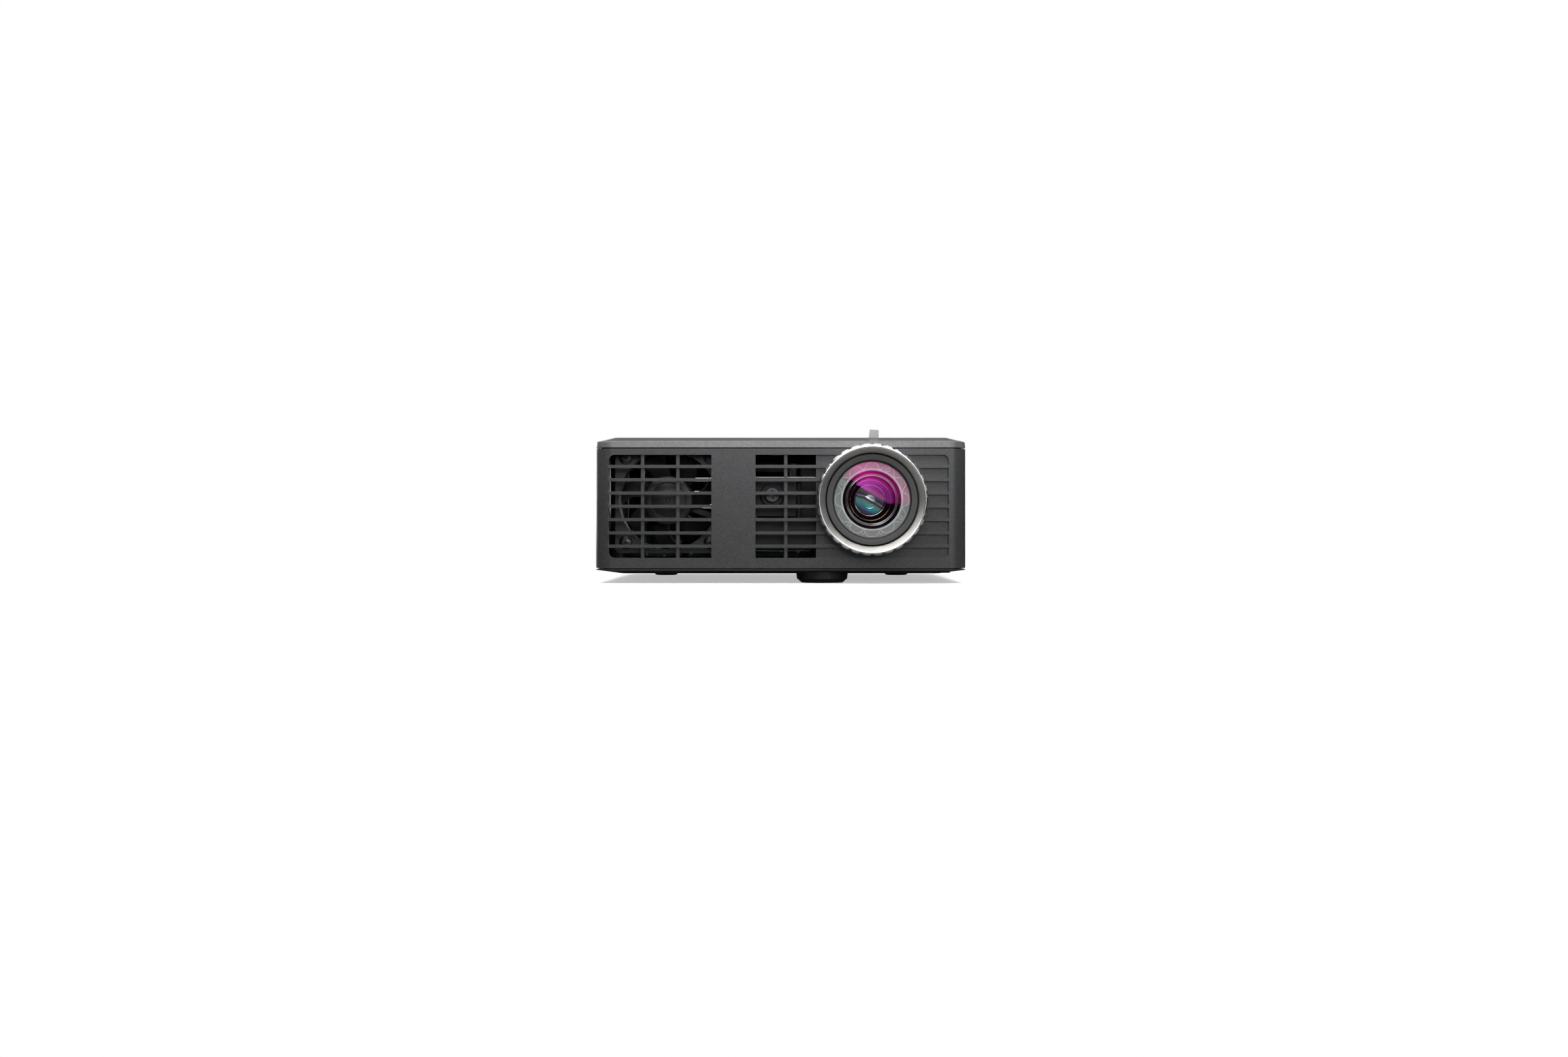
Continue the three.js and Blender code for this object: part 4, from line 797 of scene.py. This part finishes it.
def grip_ring():
    """The silver ring: a satin funnel inside, a bright lip, and shallow notches round its outside."""
    profile = [
        (12.97, -0.5), (15.2, -0.5), (15.55, -0.75), (15.67, -1.1), (15.67, -5.2), (15.6, -5.55), (15.42, -5.86),
        (15.12, -6.28), (14.98, -6.44), (14.86, -6.5), (14.72, -6.5), (14.6, -6.44), (14.5, -6.33),
        (13.18, -4.58), (13.02, -4.3), (12.97, -4.05),
    ]
    bm = lathe(profile, 480)
    for vert in bm.verts:
        reach = math.hypot(vert.co.x, vert.co.z)
        if reach < NOTCH_FOOT:
            continue
        angle = math.degrees(math.atan2(vert.co.z, vert.co.x)) % (360 / NOTCHES) - 180 / NOTCHES
        away = abs(angle) / NOTCH_HALF_ANGLE
        cut = NOTCH_DEPTH * max(0.0, 1 - away * away) * min(1, (reach - NOTCH_FOOT) / NOTCH_SLOPE)
        bmesh.ops.scale(bm, vec=((reach - cut) / reach, 1, (reach - cut) / reach), verts=[vert])
    for face in bm.faces:
        spot = face.calc_center_median()
        reach = math.hypot(spot.x, spot.z)
        face.material_index = 1 if spot.y < -6.3 or reach > NOTCH_FOOT else 0
    place(bm, LENS_X, FRONT, LENS_Z)
    keep(bm, "grip_ring", SATIN, "focus_grip", ("focus_ring",), 50, (BRIGHT,))


def wavy_bead():
    """The moulded line on the lens seat: twelve wide lobes parted by narrow dips, as one closed bead."""
    lobes, outer, dip, middle_radius = 12, 10.25, 1.45, 10

    def reach(angle):
        part = (angle * lobes / math.tau) % 1 - 0.5
        return outer - dip * math.exp(-abs(part / 0.19) ** 2.6)

    bm = lathe(round_wire(middle_radius, 0, 0.1, 6), 720)
    for vert in bm.verts:
        angle = math.atan2(vert.co.z, vert.co.x)
        offset = math.hypot(vert.co.x, vert.co.z) - middle_radius
        here, ahead = reach(angle), reach(angle + 0.002)
        slope = (ahead - here) / (0.002 * here)
        along = Vector((-slope, 1)).normalized()
        radius = here + offset * along.y
        turn = angle - offset * slope * along.y / here
        vert.co = (radius * math.cos(turn), vert.co.y, radius * math.sin(turn))
    for angle, radius in ((-32, 9.35), (-75, 9.4), (-105, 9.4), (-132, 9.35), (150, 9.35), (62, 9.4)):
        loop = lathe(round_wire(0.52, 0, 0.08, 6), 40)
        a = math.radians(angle)
        place(loop, radius * math.cos(a), 0, radius * math.sin(a))
        join(bm, loop)
    place(bm, LENS_X, FRONT - 2.98, LENS_Z)
    keep(bm, "seat_bead", BEAD, "lens_group")


def lens_pieces():
    grip_ring()
    at_lens(
        [(12.55, -4.6), (12.67, -4.48), (12.67, -1.9), (9.47, -1.9), (9.47, 13.8), (5.15, 13.8), (5.15, 9.4),
         (6.67, 9.4), (6.67, 3.2), (8.07, 3.2), (8.07, -2.3), (11.04, -2.3), (11.04, -4.45), (11.12, -4.57),
         (11.22, -4.6)],
        "barrel_tube", BARREL, "lens_group", ("lens_barrel",), 144,
    )
    at_lens(
        [(11.02, -2.4), (11.02, -4.15), (10.9, -4.22), (10.75, -4.15), (10.7, -4.0), (10.7, -2.4)],
        "glass_retainer", BLACK, "lens_group", ("lens_retainer",), 144,
    )
    # The seat is the pale flange seen round the lens, with a raised rim at its inner edge.
    at_lens(
        [(10.64, -2.95), (10.64, -2.45), (8.1, -2.45), (8.1, -2.95)],
        "glass_seat", SEAT, "lens_group", ("element_spacer",), 144,
    )
    at_lens(
        [(8.2, -2.96), (8.24, -3.1), (8.36, -3.16), (8.56, -3.16), (8.66, -3.08), (8.68, -2.96)],
        "seat_rim", BEAD, "lens_group",
    )
    wavy_bead()
    back = [(10.64 * s, -3.2 + CUP_SAG * s * s - CUP_SAG) for s in (1 - i / 12 for i in range(13))]
    at_lens(
        dome(10.64, 57, -4.9, 24) + back,
        "front_glass", FRONT_GLASS, "lens_group", ("front_element",), 144, False, 30,
    )
    at_lens(
        [(8.05, -1.45), (8.05, 2.6), (7.85, 2.6), (7.85, -0.9), (6.42, -0.9), (6.42, -1.3), (6.52, -1.45)],
        "middle_bezel", BAFFLE, "lens_group",
    )
    at_lens(
        dome(7.7, 40, -0.7, 16) + dome(7.7, 40, 0.85, 16, back=True),
        "middle_glass", MIDDLE_GLASS, "lens_group", ("middle_element",), 96, False, 30,
    )
    at_lens(
        [(6.6, 3.3), (6.6, 9.3), (3.9, 9.3), (3.9, 7.7), (4.45, 7.2), (4.75, 7.2), (4.75, 6.1), (5.35, 6.1),
         (5.35, 5.1), (5.85, 5.1), (5.85, 4.1), (6.3, 4.1), (6.3, 3.3)],
        "stray_light_steps", BAFFLE, "lens_group", ("lens_baffle",),
    )
    for name, radius, depth, thick, finish in (
        ("bezel_line_1", 7.12, -1.5, 0.13, BRIGHT), ("bezel_line_2", 6.72, -1.42, 0.13, BRIGHT),
        ("gold_line", 5.5, 5.03, 0.07, GOLD), ("rear_bezel_line", 4.18, 7.35, 0.1, BRIGHT),
    ):
        at_lens(round_wire(radius, depth, thick, 8), name, finish, "lens_group")
    at_lens(
        dome(3.85, 6.2, 7.75, 16) + [(3.85, 11.9), (0, 11.9)],
        "rear_glass", REAR_GLASS, "lens_group", ("rear_element",), 96, False, 30,
    )
    paint_node("lens_mount", BLACK)
    dress("focus_sleeve", "turning_sleeve", BLACK, 0.1)
    dress("focus_tab", "focus_lever", LEVER, 0.28, 3)


# ------------------------------------------------------------------ the fan


BLADES = 7
HUB_RADIUS = 7.1
BLADE_ROOT = 6.9
BLADE_REACH = 6.3
FAN_CORNER = 12  # from the fan's middle to its corner screws


def fan_pieces():
    dress("fan_frame", "fan_shroud", FAN, 0.25)
    spot = middle("fan_frame")
    depth = in_mm("fan_frame")[0].y
    hub = lathe(
        [(0, 0.22), (0.5, 0.24), (0.6, 0.36), (4.7, 0.36), (4.82, 0.46), (4.95, 0.46), (5.07, 0.36),
         (6.5, 0.38), (6.9, 0.58), (HUB_RADIUS, 0.98), (HUB_RADIUS, 5.35), (6.3, 5.35), (6.3, 1.3),
         (0.8, 1.3), (0.8, 5.3), (0, 5.3)], 72, False,
    )
    for number in range(BLADES):
        blade = bmesh.new()
        bmesh.ops.create_grid(blade, x_segments=12, y_segments=8, size=0.5)
        for vert in blade.verts:
            u, v = vert.co.x + 0.5, vert.co.y
            reach = BLADE_ROOT + u * BLADE_REACH
            across = 3.9 * v * (1 + 0.55 * u) + 0.6 * (1 - 4 * v * v)
            angle = math.tau * number / BLADES + across / reach + 0.28 * u * u
            vert.co = (reach * math.cos(angle), 3.05 - v * 4.0, reach * math.sin(angle))
        bmesh.ops.recalc_face_normals(blade, faces=blade.faces)
        bmesh.ops.solidify(blade, geom=blade.faces[:], thickness=0.5)
        bmesh.ops.recalc_face_normals(blade, faces=blade.faces)
        join(hub, blade)
    place(hub, spot.x, depth, spot.z)
    keep(hub, "fan_wheel", FAN, "fan_rotor", ("fan_rotor",), 40)
    for number, (x, z) in enumerate(((-1, 1), (1, 1), (-1, -1), (1, -1))):
        cross_screw(f"fan_screw_{number + 1}", spot.x + x * FAN_CORNER, depth - 0.02, spot.z + z * FAN_CORNER, 1.9)


def cross_screw(name, x, y, z, radius):
    """A domed screw head that faces forward, with a cross cut in it."""
    head = lathe(
        [(0, -0.55), (radius * 0.45, -0.5), (radius * 0.8, -0.32), (radius, 0), (radius, 0.25), (0, 0.25)], 40, False,
    )
    bars = bmesh.new()
    for turn in (0, math.pi / 2):
        spot = Matrix.Rotation(turn, 4, "Y") @ Matrix.Diagonal((radius * 1.05, 0.16, radius * 0.26, 1))
        bmesh.ops.create_cube(bars, size=1, matrix=Matrix.Translation((0, -0.5, 0)) @ spot)
    for face in bars.faces:
        face.material_index = 1
    join(head, bars)
    place(head, x, y, z)
    keep(head, name, SCREW, "case", extra=(BLACK,))


# ------------------------------------------------------------------ feet and underside


THREAD_TURNS = 9
THREAD_CREST, THREAD_ROOT = 3.2, 3.5  # radii


def underside_pieces():
    dress("tilt_foot_wheel", "foot_wheel", FOOT, 0.22, 3)
    for side in ("left", "right"):
        dress(f"rear_foot_{side}", f"rubber_foot_{side}", RUBBER, 0.35, 3)
    low, high = in_mm("tripod_insert")
    spot = middle("tripod_insert")
    profile = [(3.75, low.z), (4.6, low.z), (4.6, high.z), (THREAD_CREST, high.z)]
    for number in range(THREAD_TURNS, 0, -1):
        level = low.z + 0.4 + (high.z - low.z - 0.7) * (number - 0.5) / THREAD_TURNS
        profile += [(THREAD_CREST, level + 0.2), (THREAD_ROOT, level)]
    profile.append((THREAD_CREST, low.z + 0.45))
    insert = lathe(profile, 72)
    stand_up(insert)
    place(insert, spot.x, spot.y, 0)
    keep(insert, "tripod_bush", BRASS, "case", ("tripod_insert",))
    for corner in ("front_left", "front_right", "rear_left", "rear_right"):
        dress(f"case_screw_{corner}", f"cover_screw_{corner}", SCREW, 0.08)
    paint_node("tilt_foot_stud", STEEL)


# ------------------------------------------------------------------ keys on the top


ARROW_TURNS = {"up": 0, "left": 90, "down": 180, "right": 270}
MARK_THICKNESS = 0.05


def flat_ring(inner, outer, steps):
    """A thin ring that lies flat, for a printed mark."""
    half = MARK_THICKNESS / 2
    ring = lathe([(inner, -half), (outer, -half), (outer, half), (inner, half)], steps)
    stand_up(ring)
    return ring


def key_mark(name):
    """The mark printed on a key: an arrow, bars for the menu, a broken ring for power, a ring for enter."""
    mark = bmesh.new()
    if name in ARROW_TURNS:
        turn = Matrix.Rotation(math.radians(ARROW_TURNS[name]), 4, "Z")
        bmesh.ops.create_cone(
            mark, cap_ends=True, segments=3, radius1=0.95, radius2=0.95, depth=MARK_THICKNESS, matrix=turn,
        )
    elif name == "menu":
        for row in (-0.75, 0, 0.75):
            bar(mark, (2.6, 0.28, MARK_THICKNESS), (0, row, 0))
    elif name == "power":
        ring = flat_ring(1.45, 1.75, 60)
        spots = {f: f.calc_center_median() for f in ring.faces}
        gap = [f for f, spot in spots.items() if spot.y > 1.2 and abs(spot.x) < 0.55]
        bmesh.ops.delete(ring, geom=gap, context="FACES")
        bmesh.ops.holes_fill(ring, edges=ring.edges, sides=4)
        join(mark, ring)
        bar(mark, (0.3, 1.3, MARK_THICKNESS), (0, 1.35, 0))
    else:
        join(mark, flat_ring(1.1, 1.35, 48))
    return mark


def key_pieces():
    for name in ("enter", "power", "menu", "up", "down", "left", "right"):
        width = 0.45 if name == "enter" else 0.4
        dress(f"key_{name}", f"key_cap_{name}", KEYCAP, width, 3, over=40)
        spot = middle(f"key_{name}")
        top = in_mm(f"key_{name}")[1].z
        mark = place(key_mark(name), spot.x, spot.y, top + 0.015)
        tidy(mark)
        keep(mark, f"key_mark_{name}", PRINT, f"key_{name}_body")


# ------------------------------------------------------------------ sockets at the rear


def contacts(name, node, count, pitch, size, y, z):
    """A row of gold fingers in a socket, pitch apart."""
    spot = middle(node)
    bm = bmesh.new()
    for number in range(count):
        x = spot.x + (number - (count - 1) / 2) * pitch
        bar(bm, size, (x, y, z), size[2] * 0.3, 1)
    tidy(bm)
    keep(bm, name, GOLD, "case")


def socket_pieces():
    mouth = in_mm("hdmi_port")[1].y
    for node, name in (("hdmi_port", "video_socket"), ("usb_port", "data_socket"), ("card_slot", "card_socket")):
        low, high = in_mm(node)
        inset = 0.85 if node != "card_slot" else 0.5
        inside = lambda face, low=low, high=high, inset=inset: int(
            low.x + inset < face.calc_center_median().x < high.x - inset
            and low.z + inset < face.calc_center_median().z < high.z - inset
        )
        dress(node, name, STEEL, 0.06, paint=inside, extra=(BLACK,))
    contacts("video_contacts", "hdmi_port", 10, 1.0, (0.45, 5.9, 0.08), mouth - 4.9, 12.52)
    contacts("data_contacts", "usb_port", 4, 2.4, (1.1, 7.0, 0.1), mouth - 5.4, 12.38)
    contacts("card_contacts", "card_slot", 8, 1.3, (0.8, 3.2, 0.12), mouth - 8.0, 9.64)
    for node, name, bright in (("audio_jack", "sound_socket", 2.95), ("dc_jack", "power_socket", 1.0)):
        spot = middle(node)
        shine = lambda face, spot=spot, bright=bright: int(
            math.hypot(face.calc_center_median().x - spot.x, face.calc_center_median().z - spot.z) < bright
            and face.calc_center_median().y > mouth - 9
        )
        dress(node, name, BLACK, 0.08, paint=shine, extra=(STEEL,))


# ------------------------------------------------------------------ what shows through the louvres, and the rest


SLAT_PLACE = (-38.3, 49.85, 13.9)  # the middle one of the three
SLAT_PITCH = 4.57
LIP_LEVEL = 18.2  # of the plate's lower bright edge


def vent_slats():
    """Sloping slats behind the low air slots at the rear, which let air past but no view through."""
    bm = bmesh.new()
    for row in (-1, 0, 1):
        slat = bmesh.new()
        bar(slat, (11.2, 3.7, 0.5), (0, 0, 0), 0.1, 1)
        bmesh.ops.rotate(slat, verts=slat.verts, cent=(0, 0, 0), matrix=Matrix.Rotation(math.radians(40), 3, "X"))
        x, y, z = SLAT_PLACE
        join(bm, place(slat, x, y, z + row * SLAT_PITCH))
    keep(bm, "vent_slats", BLACK, "case")


def plate_lips():
    """The plate's turned edges, two bright lines in the middle window."""
    low, high = in_mm("sink_bracket")
    bm = bmesh.new()
    for level in (high.z - 0.15, LIP_LEVEL):
        bar(bm, (high.x - low.x - 0.6, 0.5, 0.28), ((low.x + high.x) / 2, low.y - 0.22, level), 0.07, 1)
    keep(bm, "plate_lips", ALUMINIUM, "case")


def inner_pieces():
    vent_slats()
    plate_lips()
    dress("sink_bracket", "sink_plate", ANODISED, 0.2)
    dress("sink_screw", "plate_screw", SCREW, 0.12)
    dress("heat_sink", "finned_block", ANODISED, 0.12)
    for node, finish in (
        ("engine_case", DIE_CAST), ("engine_cover", DIE_CAST), ("prism", CLEAR), ("dmd_chip", STEEL),
        ("dmd_board", BOARD), ("dmd_heat_sink", ALUMINIUM), ("led_red", BLACK), ("led_green", BLACK),
        ("led_blue", BLACK),
        ("collimator_red", CLEAR), ("collimator_green", CLEAR), ("collimator_blue", CLEAR), ("main_board", BOARD),
        ("power_board", BOARD), ("processor", STEEL), ("speaker", BLACK), ("keypad_board", BOARD),
    ):
        paint_node(node, finish)


aim_camera()
light_room()
table_top()
dress_case()
lens_pieces()
fan_pieces()
underside_pieces()
key_pieces()
socket_pieces()
inner_pieces()

scene.view_settings.view_transform = "Standard"
